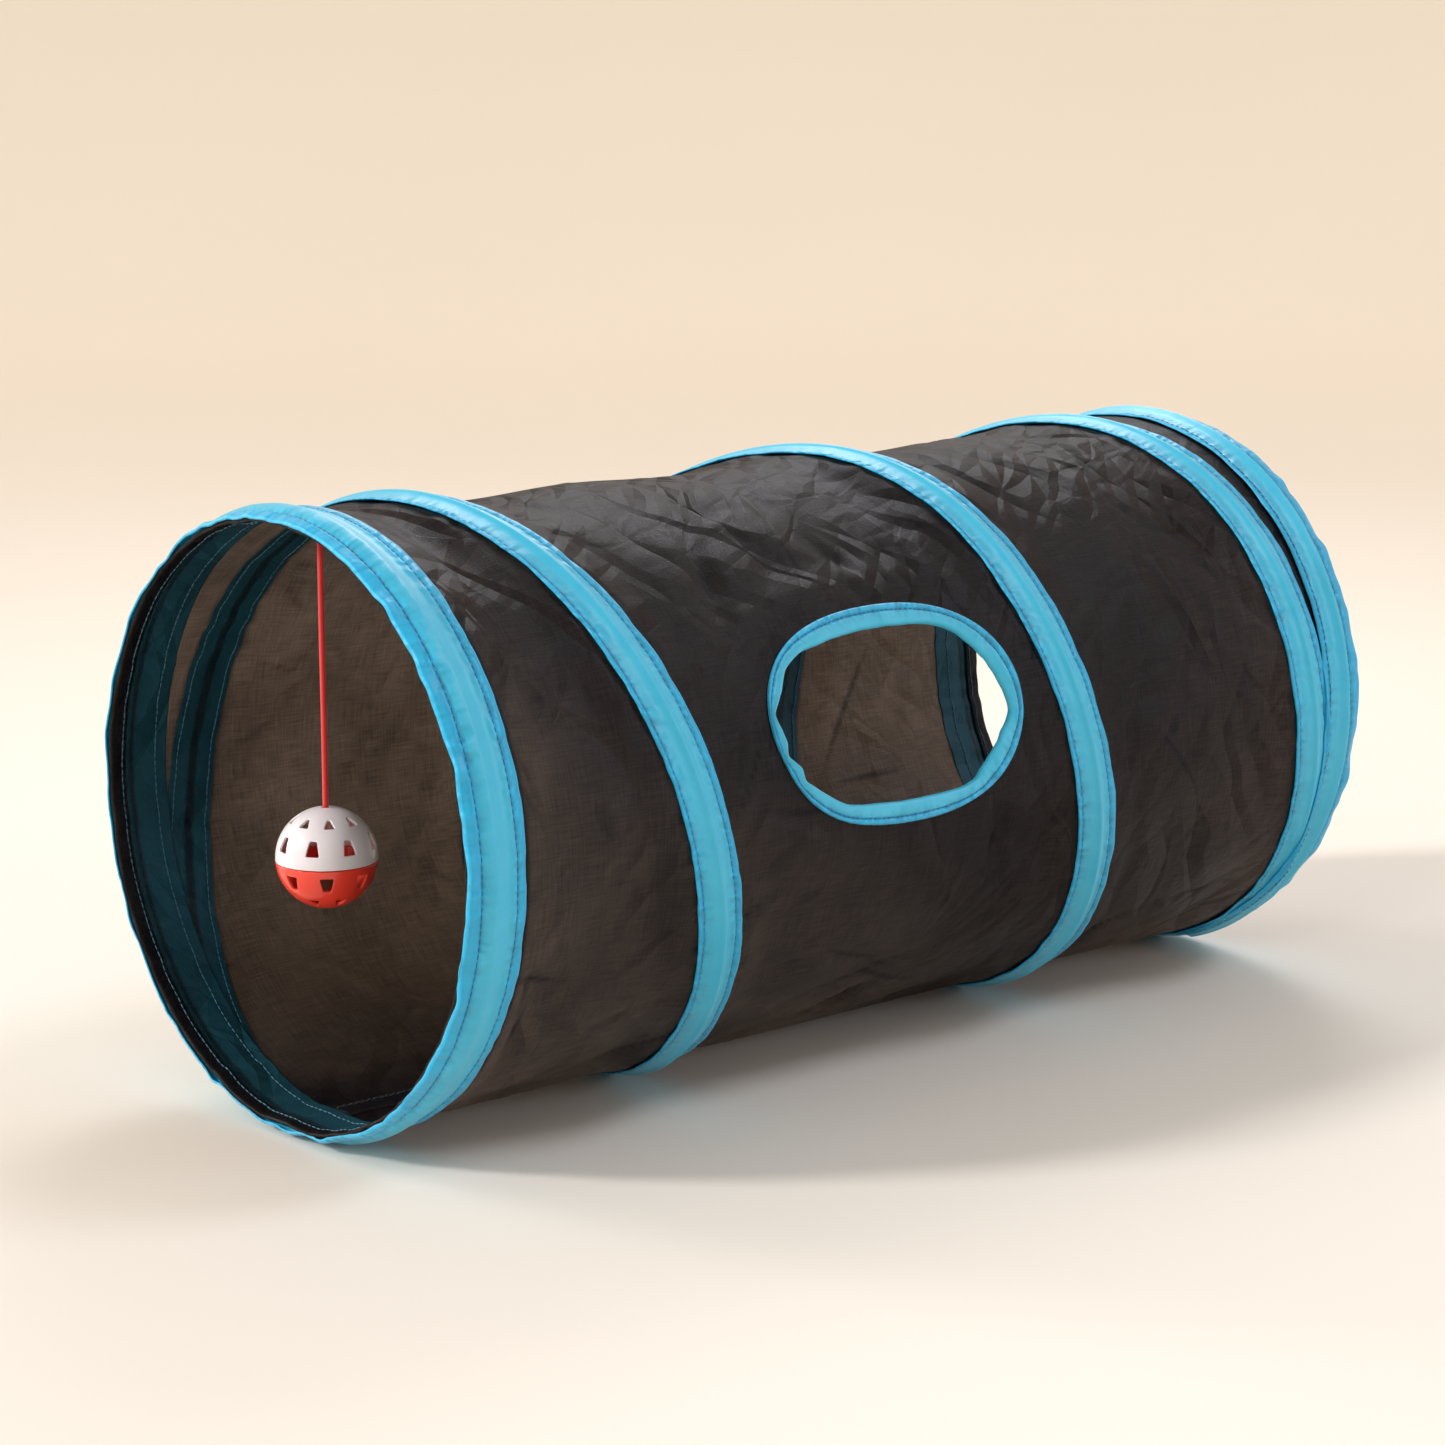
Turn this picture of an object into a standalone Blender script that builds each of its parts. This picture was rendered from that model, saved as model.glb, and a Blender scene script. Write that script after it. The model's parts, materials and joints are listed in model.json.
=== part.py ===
"""A collapsible cat tunnel: a cloth tube on spring wire, with a bell ball hanging in its front mouth.

Metres, +Z up. The tube lies along X with its front mouth at -X, and stands on z = 0. The origin is on the
floor under the middle of the tube. Angles round the tube start at the bottom and rise on the +Y side.
"""

import math

import bmesh
import bpy
from mathutils import Vector

# The whole tube
TUNNEL_LENGTH = 0.500
TUNNEL_DIAMETER = 0.250
FACETS_AROUND = 48

# Cloth, tape and the space between layers
FABRIC_THICKNESS = 0.0006
TAPE_THICKNESS = 0.0006
LAYER_GAP = 0.0003
MERGE_DISTANCE = 0.000001
CUTTER_OVERRUN = 0.002

# Spring wire and the channel that it runs in
WIRE_DIAMETER = 0.0020
CHANNEL_CLEARANCE = 0.0006
CHANNEL_FLANK = 0.0023
FERRULE_WALL = 0.00025
FERRULE_CLEARANCE = 0.0001
FERRULE_SIDES = 12
HOOP_END_GAP = 0.0006

# Mouth bands
MOUTH_BAND_WIDTH = 0.028
HOOP_SET_BACK = 0.0115
HEM_SET_BACK = 0.0008
HEM_WIDTH = 0.0075

# Spiral band. Each row of the table is (turns from the front ring, share of the way to the rear ring).
SPIRAL_BAND_WIDTH = 0.0220
SPIRAL_SHARES = (
    (0.00, 0.000),
    (0.27, 0.063),
    (0.54, 0.128),
    (0.84, 0.252),
    (1.16, 0.350),
    (1.30, 0.430),
    (1.50, 0.572),
    (1.67, 0.630),
    (1.90, 0.714),
    (2.15, 0.730),
    (2.30, 0.788),
    (2.50, 0.906),
    (2.75, 0.961),
    (2.95, 1.000),
)

# Cloth form between the bands
WAIST_DEPTH = 0.0022
WAIST_RUN = 0.020
FOLD_DEPTH = 0.0020
FOLDS_AROUND = 7
FOLD_LEAN = 0.110
CLOTH_COLUMNS = 9
SEAM_WIDTH = 0.009
SEAM_THICKNESS = 0.0010

# Side opening: its lengths along X and round the wall, its centre along X, and its angle round the tube
HOLE_LENGTH = 0.119
HOLE_HEIGHT = 0.0706
HOLE_X = -0.0293
HOLE_ANGLE = math.radians(253.3)
HOLE_POWER = 2.2
HOLE_POINTS = 40
BINDING_WIDTH = 0.009
BINDING_GAP = 0.0005
CALM_CLOTH_SHARE = 1.55

# Cord, and the tab that it hangs from
CORD_DIAMETER = 0.0024
CORD_LENGTH = 0.1055
CORD_POINT_SPACING_SHARE = 2.5
TAB_WIDTH = 0.0020
TAB_THICKNESS = 0.0006
TAB_FLANGE = 0.0020
TAB_BEND_STEPS = 6
LOOP_STEPS = 18
LOOP_SIDES = 8
WHIPPING_DIAMETER = 0.0034
KNOT_DIAMETER = 0.0056
KNOT_HEIGHT = 0.0044
BEAD_STEPS = 12
BEAD_ARC_STEPS = 6

# Ball
BALL_DIAMETER = 0.040
BALL_WALL = 0.0013
BALL_SEAM_DROP = 0.0010
BALL_LIP_HEIGHT = 0.0014
BALL_LIP_WALL = 0.0008
CORD_HOLE_CLEARANCE = 0.0004
WINDOWS_AROUND = 8
WAIST_WINDOW_HEIGHT = 0.0055
WAIST_WINDOW_TOP = 0.0029
WAIST_WINDOW_BOTTOM = 0.0045
WAIST_WINDOW_LATITUDE = math.radians(21.5)
POLE_WINDOW_HEIGHT = 0.0044
POLE_WINDOW_TOP = 0.0008
POLE_WINDOW_BOTTOM = 0.0042
POLE_WINDOW_LATITUDE = math.radians(52)
UPPER_WINDOW_TURN = math.radians(-41.5)
LOWER_WINDOW_TURN = math.radians(-19)
BALL_STEPS = 24
BALL_ARC_STEPS = 7

# Bell
BELL_DIAMETER = 0.0100
BELL_WALL = 0.0005
BELL_FLANGE = 0.0005
BELL_SLOT_LENGTH = 0.0070
BELL_SLOT_WIDTH = 0.0010
BELL_SLOT_END = 0.0018
BELL_SLOT_STEPS = 8
BELL_STEPS = 16
BELL_ARC_STEPS = 4
PELLET_DIAMETER = 0.0025

# The tube, worked out from the sizes above
RIM = TUNNEL_LENGTH / 2
FACET_ANGLE = 2 * math.pi / FACETS_AROUND
CREST_RADIUS = TUNNEL_DIAMETER / 2
AXIS_HEIGHT = CREST_RADIUS * math.cos(FACET_ANGLE)
CHANNEL_HEIGHT = WIRE_DIAMETER + 2 * CHANNEL_CLEARANCE
CLOTH_RADIUS = CREST_RADIUS - TAPE_THICKNESS - CHANNEL_HEIGHT
WIRE_RADIUS = CLOTH_RADIUS + CHANNEL_HEIGHT / 2
HUMP_HALF_TOP = WIRE_DIAMETER / 2 + LAYER_GAP
FERRULE_BORE = WIRE_DIAMETER / 2 + FERRULE_CLEARANCE
FERRULE_OUTSIDE = FERRULE_BORE + FERRULE_WALL
FERRULE_FACET = FACETS_AROUND // 4
HOOP_X = RIM - HOOP_SET_BACK
SPIRAL_START = HOOP_X - WIRE_DIAMETER / 2 - FERRULE_OUTSIDE - LAYER_GAP
SPIRAL_END_ANGLE = 2 * math.pi * SPIRAL_SHARES[-1][0]
CLOTH_END = RIM - MOUTH_BAND_WIDTH - LAYER_GAP

# The cord's fittings, from the cloth down to the ball
TAB_LOOP = CORD_DIAMETER / 2 + LAYER_GAP
TAB_OUTSIDE = TAB_LOOP + TAB_THICKNESS
TAB_X = -CLOTH_END - LAYER_GAP - TAB_FLANGE - TAB_OUTSIDE
TAB_TOP = AXIS_HEIGHT + CLOTH_RADIUS - FABRIC_THICKNESS - LAYER_GAP
LOOP_RADIUS = CORD_DIAMETER / 2 + math.hypot(TAB_WIDTH / 2, TAB_THICKNESS) + LAYER_GAP
TAB_DEPTH = LOOP_RADIUS + CORD_DIAMETER / 2 + LAYER_GAP
LOOP_HEIGHT = TAB_TOP - TAB_DEPTH
WHIPPING_DROP = LOOP_RADIUS + WHIPPING_DIAMETER / 2
CORD_DROP = WHIPPING_DIAMETER / 2 + LAYER_GAP
BALL_RADIUS = BALL_DIAMETER / 2
BALL_INSIDE = BALL_RADIUS - BALL_WALL
BALL_DROP = CORD_DROP + CORD_LENGTH + BALL_INSIDE
KNOT_RISE = BALL_INSIDE - LAYER_GAP - KNOT_HEIGHT / 2
BELL_RADIUS = BELL_DIAMETER / 2
BELL_INSIDE = BELL_RADIUS - BELL_WALL
BELL_DROP = BALL_INSIDE - LAYER_GAP - BELL_RADIUS
PELLET_DROP = BELL_INSIDE - LAYER_GAP - PELLET_DIAMETER / 2


def clamp(value, low, high):
    return max(low, min(high, value))


def smooth_step(share):
    share = clamp(share, 0, 1)
    return share * share * (3 - 2 * share)


def clear_scene():
    for obj in list(bpy.data.objects):
        bpy.data.objects.remove(obj)


def material(name, color, roughness, metallic=0.0):
    made = bpy.data.materials.new(name)
    made.use_nodes = True
    shader = made.node_tree.nodes["Principled BSDF"]
    shader.inputs["Base Color"].default_value = (*color, 1)
    shader.inputs["Roughness"].default_value = roughness
    shader.inputs["Metallic"].default_value = metallic
    made.diffuse_color = (*color, 1)
    return made


def place(name, data, finish, carrier, location=(0, 0, 0)):
    """Puts a mesh or a curve in the scene, in its own material, under the empty that carries it."""
    made = bpy.data.objects.new(name, data)
    bpy.context.collection.objects.link(made)
    data.materials.append(finish)
    made.parent = carrier
    made.location = location
    return made


def pivot(name, location, carrier=None):
    """An empty: a piece under it turns or slides about this place."""
    made = bpy.data.objects.new(name, None)
    bpy.context.collection.objects.link(made)
    made.parent = carrier
    made.location = location
    return made


def combine(target, operation, name, data, location=(0, 0, 0)):
    """Cuts an object with a mesh, or joins the two. The mesh stays beside it as a hidden guide."""
    guide = bpy.data.objects.new(name, data)
    bpy.context.collection.objects.link(guide)
    guide.parent = target.parent
    guide.location = location
    guide.hide_render = True
    guide.display_type = "WIRE"
    modifier = target.modifiers.new(name, "BOOLEAN")
    modifier.operation = operation
    modifier.solver = "EXACT"
    modifier.object = guide


def as_mesh(name, form):
    """A finished mesh from a bmesh: faces outward, round parts smooth, edges over 35 degrees sharp."""
    bmesh.ops.recalc_face_normals(form, faces=form.faces)
    mesh = bpy.data.meshes.new(name)
    form.to_mesh(mesh)
    form.free()
    mesh.shade_smooth()
    mesh.set_sharp_from_angle(angle=math.radians(35))
    return mesh


def skin(form, rows, ring):
    """Joins closed rows of vertices into one surface. A ring joins its last row to its first."""
    pairs = list(zip(rows, rows[1:]))
    if ring:
        pairs.append((rows[-1], rows[0]))
    else:
        form.faces.new(rows[0])
        form.faces.new(rows[-1])
    for one, other in pairs:
        for i in range(len(one)):
            j = (i + 1) % len(one)
            form.faces.new((one[i], one[j], other[j], other[i]))


def loft(name, loops, ring):
    """A solid skinned over closed loops of points."""
    form = bmesh.new()
    skin(form, [[form.verts.new(point) for point in loop] for loop in loops], ring)
    return as_mesh(name, form)


def revolve(name, profile, steps):
    """A solid turned about Z from a closed profile of (radius, height) points, which may touch the axis."""
    form = bmesh.new()
    points = [form.verts.new((radius, 0, height)) for radius, height in profile]
    edges = [form.edges.new(pair) for pair in zip(points, points[1:] + points[:1])]
    bmesh.ops.spin(
        form,
        geom=points + edges,
        cent=(0, 0, 0),
        axis=(0, 0, 1),
        angle=2 * math.pi,
        steps=steps,
        use_merge=True,
    )
    bmesh.ops.remove_doubles(form, verts=form.verts, dist=MERGE_DISTANCE)
    return as_mesh(name, form)


def arc(radius, start, end, steps):
    """(radius, height) points of an arc about the origin, from one latitude to another."""
    angles = [start + (end - start) * i / steps for i in range(steps + 1)]
    return [(radius * math.cos(angle), radius * math.sin(angle)) for angle in angles]


def bar(name, points, diameter, bevel_resolution):
    """A round wire or cord through the points, with closed ends."""
    curve = bpy.data.curves.new(name, "CURVE")
    curve.dimensions = "3D"
    curve.bevel_depth = diameter / 2
    curve.bevel_resolution = bevel_resolution
    curve.use_fill_caps = True
    spline = curve.splines.new("POLY")
    spline.points.add(len(points) - 1)
    for target, point in zip(spline.points, points):
        target.co = (*point, 1)
    return curve


# The tube's surface


def from_bottom(angle):
    """The angle from the bottom of the tube, on either side."""
    return abs((angle + math.pi) % (2 * math.pi) - math.pi)


def on_tube(x, angle, radius):
    """A point of the tube: round, but cut flat for one facet on each side of the bottom, where it stands."""
    if from_bottom(angle) < FACET_ANGLE:
        radius *= math.cos(FACET_ANGLE) / math.cos(from_bottom(angle))
    return Vector((x, radius * math.sin(angle), AXIS_HEIGHT - radius * math.cos(angle)))


def facet_angles(first, last):
    """The angles of the facet edges from one number to another. Numbers past a full turn are a spiral's."""
    return [FACET_ANGLE * i for i in range(first, last + 1)]


def spiral_share(turns):
    """Share of the way along the spiral after this many turns: a smooth curve through the table."""
    rows = SPIRAL_SHARES
    turns = clamp(turns, rows[0][0], rows[-1][0])
    i = max(k for k in range(len(rows) - 1) if rows[k][0] <= turns)
    (start, low), (end, high) = rows[i], rows[i + 1]
    # The slope at an inner row is that between its neighbours. Both ends run along their rings.
    slope_in = (high - rows[i - 1][1]) / (end - rows[i - 1][0]) if i > 0 else 0
    slope_out = (rows[i + 2][1] - low) / (rows[i + 2][0] - start) if i + 2 < len(rows) else 0
    t = (turns - start) / (end - start)
    bend = slope_in * t * (1 - t) ** 2 - slope_out * t * t * (1 - t)
    return low + (high - low) * smooth_step(t) + (end - start) * bend


def spiral_x(angle):
    return SPIRAL_START * (2 * spiral_share(angle / (2 * math.pi)) - 1)


def spiral_passes(angle):
    """The spiral's own angles, up to its whole length, where it crosses this line along the tube."""
    first = angle % (2 * math.pi)
    turns = range(math.ceil(SPIRAL_END_ANGLE / (2 * math.pi)))
    return [first + 2 * math.pi * k for k in turns]


def hole_reach(x, angle):
    """1 on the cloth's cut edge, less inside the opening and more outside it."""
    along = abs(x - HOLE_X) / (HOLE_LENGTH / 2)
    round_wall = from_bottom(angle - HOLE_ANGLE) * CLOTH_RADIUS / (HOLE_HEIGHT / 2)
    return (along**HOLE_POWER + round_wall**HOLE_POWER) ** (1 / HOLE_POWER)


def drawn_in(x, angle):
    """How far the cloth's face lies inside the bands' radius: waists between bands, and leaning folds."""
    passes = [spiral_x(along) for along in spiral_passes(angle) if along <= SPIRAL_END_ANGLE]
    from_tape = [abs(x - middle) - SPIRAL_BAND_WIDTH / 2 for middle in passes]
    from_tape.append(CLOTH_END - abs(x))
    slack = smooth_step(min(from_tape) / WAIST_RUN)
    slack *= smooth_step(from_bottom(angle) / FACET_ANGLE - 2)
    slack *= smooth_step((hole_reach(x, angle) - CALM_CLOTH_SHARE) / (CALM_CLOTH_SHARE - 1))
    fold = 0.5 + 0.5 * math.cos(FOLDS_AROUND * angle + 2 * math.pi * x / FOLD_LEAN)
    return slack * (WAIST_DEPTH + FOLD_DEPTH * fold)


# Tape: its profiles are lists of (place along the tube, height of its underside above the cloth)


def underside(past_top):
    """Height of the tape this far past the channel's flat top: down the flank, then on the cloth."""
    rise = clamp(1 - past_top / CHANNEL_FLANK, 0, 1)
    return LAYER_GAP + rise * (CHANNEL_HEIGHT - LAYER_GAP)


def tape_profile(top_start, top_end, low, high):
    """From edge to edge of a tape, over a channel. Points stay in order, a tape's thickness apart."""
    places = (low, top_start - CHANNEL_FLANK, top_start, top_end, top_end + CHANNEL_FLANK, high)
    profile = []
    for i, wanted in enumerate(places):
        beyond = len(places) - 1 - i
        x = clamp(wanted, low + i * TAPE_THICKNESS, high - beyond * TAPE_THICKNESS)
        profile.append((x, underside(max(top_start - x, x - top_end, 0))))
    return profile


def tape_loop(profile, angle):
    """A closed loop round the tape's thickness at this angle."""
    inner = [on_tube(x, angle, CLOTH_RADIUS + height) for x, height in profile]
    outer = [on_tube(x, angle, CLOTH_RADIUS + height + TAPE_THICKNESS) for x, height in profile]
    return outer + inner[::-1]


def channel_end(angle, side):
    """How far from the rim the mouth band comes down: past its ring, and past the spiral beside that."""
    wires = [HOOP_SET_BACK]
    for along in spiral_passes(angle):
        # The tape stays up for one more facet, until the spiral wire is clear of its edge.
        nearer = side * spiral_x(along + side * FACET_ANGLE)
        under_band = RIM - nearer - HUMP_HALF_TOP < MOUTH_BAND_WIDTH
        if under_band and along <= SPIRAL_END_ANGLE + FACET_ANGLE:
            wires.append(RIM - side * spiral_x(along))
    return min(max(wires) + HUMP_HALF_TOP, MOUTH_BAND_WIDTH)


def mouth_band(side):
    """Tape round a mouth, from the rim inwards. side is -1 at the front and 1 at the rear."""
    loops = []
    for angle in facet_angles(0, FACETS_AROUND - 1):
        top = (HOOP_SET_BACK - HUMP_HALF_TOP, channel_end(angle, side))
        profile = tape_profile(*top, 0, MOUTH_BAND_WIDTH)
        loops.append(tape_loop([(side * (RIM - x), height) for x, height in profile], angle))
    return loft("mouth_band", loops, ring=True)


def spiral_band():
    """Tape over the spiral. It comes out from one mouth band's edge and runs in at the other's."""
    loops = []
    for angle in facet_angles(0, round(SPIRAL_END_ANGLE / FACET_ANGLE)):
        middle = spiral_x(angle)
        low = max(middle - SPIRAL_BAND_WIDTH / 2, -CLOTH_END)
        high = min(middle + SPIRAL_BAND_WIDTH / 2, CLOTH_END)
        if high - low > 2 * CHANNEL_FLANK:
            top = (middle - HUMP_HALF_TOP, middle + HUMP_HALF_TOP)
            loops.append(tape_loop(tape_profile(*top, low, high), angle))
    return loft("spiral_band", loops, ring=False)


# Wires


def hoop(side):
    """Once round from inside one end of the ferrule to the other, with a small gap between the ends."""
    angles = facet_angles(FERRULE_FACET, FERRULE_FACET + FACETS_AROUND + 1)
    corners = [on_tube(side * HOOP_X, angle, WIRE_RADIUS) for angle in angles]
    middle = (corners[0] + corners[1]) / 2
    end_step = (corners[1] - corners[0]).normalized() * HOOP_END_GAP / 2
    return bar("hoop", [middle + end_step] + corners[1:-1] + [middle - end_step], WIRE_DIAMETER, 1)


def ferrule(side):
    """A crimp sleeve over the hoop's two ends, along one facet."""
    angles = facet_angles(FERRULE_FACET, FERRULE_FACET + 1)
    low, high = [on_tube(side * HOOP_X, angle, WIRE_RADIUS) for angle in angles]
    along = (high - low).normalized()
    across = Vector((1, 0, 0))
    upward = along.cross(across)
    low += along * FERRULE_OUTSIDE / 2
    high -= along * FERRULE_OUTSIDE / 2
    turns = [2 * math.pi * (i + 0.5) / FERRULE_SIDES for i in range(FERRULE_SIDES)]
    spokes = [across * math.cos(turn) + upward * math.sin(turn) for turn in turns]
    ends = ((low, FERRULE_OUTSIDE), (high, FERRULE_OUTSIDE), (high, FERRULE_BORE), (low, FERRULE_BORE))
    loops = [[centre + radius * spoke for spoke in spokes] for centre, radius in ends]
    return loft("ferrule", loops, ring=True)


def spiral_wire():
    """The spring that holds the tube open, with its end turns beside the rings."""
    angles = facet_angles(0, math.floor(SPIRAL_END_ANGLE / FACET_ANGLE))
    return bar("spiral", [on_tube(spiral_x(a), a, WIRE_RADIUS) for a in angles], WIRE_DIAMETER, 1)


# Cloth


def hem(side):
    """The cloth under a mouth band, double at the rim, where its edge is turned in."""
    inside = CLOTH_RADIUS - FABRIC_THICKNESS
    fold_end = HEM_SET_BACK + HEM_WIDTH
    profile = (
        (HEM_SET_BACK, CLOTH_RADIUS),
        (MOUTH_BAND_WIDTH, CLOTH_RADIUS),
        (MOUTH_BAND_WIDTH, inside),
        (fold_end, inside),
        (fold_end, inside - FABRIC_THICKNESS),
        (HEM_SET_BACK, inside - FABRIC_THICKNESS),
    )
    angles = facet_angles(0, FACETS_AROUND - 1)
    loops = [[on_tube(side * (RIM - x), angle, r) for x, r in profile] for angle in angles]
    return loft("hem", loops, ring=True)


def tunnel_cloth():
    """The open tube as one sheet. A Solidify modifier gives it its thickness, inwards."""
    form = bmesh.new()
    columns = [CLOTH_END * (2 * i / CLOTH_COLUMNS - 1) for i in range(CLOTH_COLUMNS + 1)]
    rows = []
    for angle in facet_angles(0, FACETS_AROUND - 1):
        points = [on_tube(x, angle, CLOTH_RADIUS - drawn_in(x, angle)) for x in columns]
        rows.append([form.verts.new(point) for point in points])
    for row, other in zip(rows, rows[1:] + rows[:1]):
        for j in range(CLOTH_COLUMNS):
            form.faces.new((row[j], other[j], other[j + 1], row[j + 1]))
    mesh = bpy.data.meshes.new("tunnel_cloth")
    form.to_mesh(mesh)
    form.free()
    mesh.shade_smooth()
    return mesh


def hole_outline(grow, radius):
    """The side opening's outline: a rounded oval, this far outside the cloth's cut edge."""
    points = []
    for i in range(HOLE_POINTS):
        turn = 2 * math.pi * i / HOLE_POINTS
        along = math.copysign(abs(math.cos(turn)) ** (2 / HOLE_POWER), math.cos(turn))
        round_wall = math.copysign(abs(math.sin(turn)) ** (2 / HOLE_POWER), math.sin(turn))
        angle = HOLE_ANGLE + round_wall * (HOLE_HEIGHT / 2 + grow) / CLOTH_RADIUS
        points.append(on_tube(HOLE_X + along * (HOLE_LENGTH / 2 + grow), angle, radius))
    return points


def hole_cutter():
    reach = FOLD_DEPTH + WAIST_DEPTH + FABRIC_THICKNESS + CUTTER_OVERRUN
    outlines = [hole_outline(0, CLOTH_RADIUS - reach), hole_outline(0, CLOTH_RADIUS + reach)]
    return loft("hole_cutter", outlines, ring=False)


def hole_binding():
    """Tape folded over the cut edge: a leaf outside the cloth and one inside, joined across the edge."""
    outside = BINDING_GAP
    inside = -FABRIC_THICKNESS - BINDING_GAP
    section = (
        (BINDING_WIDTH, outside + TAPE_THICKNESS),
        (-BINDING_GAP - TAPE_THICKNESS, outside + TAPE_THICKNESS),
        (-BINDING_GAP - TAPE_THICKNESS, inside - TAPE_THICKNESS),
        (BINDING_WIDTH, inside - TAPE_THICKNESS),
        (BINDING_WIDTH, inside),
        (-BINDING_GAP, inside),
        (-BINDING_GAP, outside),
        (BINDING_WIDTH, outside),
    )
    return loft("binding", [hole_outline(grow, CLOTH_RADIUS + rise) for grow, rise in section], ring=True)


def lengthwise_seam():
    """The seam allowance: a flat strip along the bottom, on the inside of the cloth."""
    bottom = on_tube(0, 0, CLOTH_RADIUS - FABRIC_THICKNESS).z + LAYER_GAP
    shoulder = SEAM_THICKNESS / 2
    half = SEAM_WIDTH / 2
    section = (
        (-half, bottom),
        (half, bottom),
        (half, bottom + shoulder),
        (half - shoulder, bottom + SEAM_THICKNESS),
        (shoulder - half, bottom + SEAM_THICKNESS),
        (-half, bottom + shoulder),
    )
    loops = [[Vector((x, y, z)) for y, z in section] for x in (-CLOTH_END, CLOTH_END)]
    return loft("seam", loops, ring=False)


# What hangs in the mouth


def hanging_tab():
    """A ribbon bent into a loop, with a flange on each side that is stitched behind the band."""
    centre = TAB_OUTSIDE - TAB_DEPTH
    flange = TAB_OUTSIDE + TAB_FLANGE
    bend = [math.pi * (1 + i / TAB_BEND_STEPS) for i in range(TAB_BEND_STEPS + 1)]
    inner = [(TAB_LOOP * math.cos(turn), centre + TAB_LOOP * math.sin(turn)) for turn in bend]
    outer = [(TAB_OUTSIDE * math.cos(turn), centre + TAB_OUTSIDE * math.sin(turn)) for turn in bend]
    above = [(-flange, 0), (-TAB_LOOP, 0)] + inner + [(TAB_LOOP, 0), (flange, 0)]
    below = [(flange, -TAB_THICKNESS), (TAB_OUTSIDE, -TAB_THICKNESS)] + outer[::-1]
    below += [(-TAB_OUTSIDE, -TAB_THICKNESS), (-flange, -TAB_THICKNESS)]
    sides = (-TAB_WIDTH / 2, TAB_WIDTH / 2)
    loops = [[Vector((TAB_X + x, y, TAB_TOP + z)) for x, z in above + below] for y in sides]
    return loft("hanging_tab", loops, ring=False)


def cord_loop():
    """The cord's end turned back through the tab, about the loop's own centre."""
    across = Vector((1, 0, 0))
    sides = [2 * math.pi * (j + 0.5) / LOOP_SIDES for j in range(LOOP_SIDES)]
    loops = []
    for i in range(LOOP_STEPS):
        turn = 2 * math.pi * i / LOOP_STEPS
        outward = Vector((0, math.cos(turn), math.sin(turn)))
        spokes = [outward * math.cos(side) + across * math.sin(side) for side in sides]
        loops.append([outward * LOOP_RADIUS + spoke * CORD_DIAMETER / 2 for spoke in spokes])
    return loft("cord_loop", loops, ring=True)


def bead(name, diameter, height):
    """A whipping, knot or pellet: a round bead, flattened or drawn out along Z."""
    half_turn = arc(diameter / 2, -math.pi / 2, math.pi / 2, BEAD_ARC_STEPS)
    waist = [(radius, z * height / diameter) for radius, z in half_turn[1:-1]]
    return revolve(name, [(0, -height / 2)] + waist + [(0, height / 2)], BEAD_STEPS)


def cord():
    """From under the whipping down through the ball's hole."""
    steps = round(CORD_LENGTH / (CORD_DIAMETER * CORD_POINT_SPACING_SHARE))
    points = [Vector((0, 0, -CORD_LENGTH * i / steps)) for i in range(steps + 1)]
    return bar("cord", points, CORD_DIAMETER, 2)


# Ball and bell


def ball_upper():
    """White half: a dome with the cord's hole at its top and a plain rim."""
    hole = CORD_DIAMETER / 2 + CORD_HOLE_CLEARANCE
    outside = (-math.asin(BALL_SEAM_DROP / BALL_RADIUS), math.acos(hole / BALL_RADIUS))
    inside = (math.acos(hole / BALL_INSIDE), -math.asin(BALL_SEAM_DROP / BALL_INSIDE))
    profile = arc(BALL_RADIUS, *outside, BALL_ARC_STEPS) + arc(BALL_INSIDE, *inside, BALL_ARC_STEPS)
    return revolve("ball_upper", profile, BALL_STEPS)


def ball_lower():
    """Red half: a bowl with a thinner lip that snaps up inside the white half."""
    rim = -BALL_SEAM_DROP - LAYER_GAP
    lip_outside = BALL_INSIDE - LAYER_GAP
    lip_inside = lip_outside - BALL_LIP_WALL
    lip_top = BALL_LIP_HEIGHT - BALL_SEAM_DROP
    lip_foot = -math.acos(lip_inside / BALL_INSIDE)
    outside = arc(BALL_RADIUS, -math.pi / 2, math.asin(rim / BALL_RADIUS), BALL_ARC_STEPS)
    inside = arc(BALL_INSIDE, lip_foot, -math.pi / 2, BALL_ARC_STEPS)
    profile = [(0, -BALL_RADIUS)] + outside[1:]
    profile += [(lip_outside, rim), (lip_outside, lip_top), (lip_inside, lip_top)]
    profile += inside[:-1] + [(0, -BALL_INSIDE)]
    return revolve("ball_lower", profile, BALL_STEPS)


def window_cutters(side, latitude, turn, height, top, bottom):
    """A ring of tapered windows as one cutter. side is 1 above the seam, and -1 below it, upside down."""
    outline = [(-bottom, -height), (bottom, -height), (top, height), (-top, height)]
    form = bmesh.new()
    for k in range(WINDOWS_AROUND):
        azimuth = turn + 2 * math.pi * k / WINDOWS_AROUND
        east = Vector((-math.sin(azimuth), math.cos(azimuth), 0))
        level = Vector((math.cos(azimuth), math.sin(azimuth), 0))
        upward = Vector((0, 0, side))
        outward = level * math.cos(latitude) + upward * math.sin(latitude)
        north = upward * math.cos(latitude) - level * math.sin(latitude)
        rows = []
        for reach in (BALL_INSIDE - CUTTER_OVERRUN, BALL_RADIUS + CUTTER_OVERRUN):
            points = [outward * reach + (east * e + north * n) / 2 for e, n in outline]
            rows.append([form.verts.new(point) for point in points])
        skin(form, rows, ring=False)
    return as_mesh("windows", form)


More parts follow.
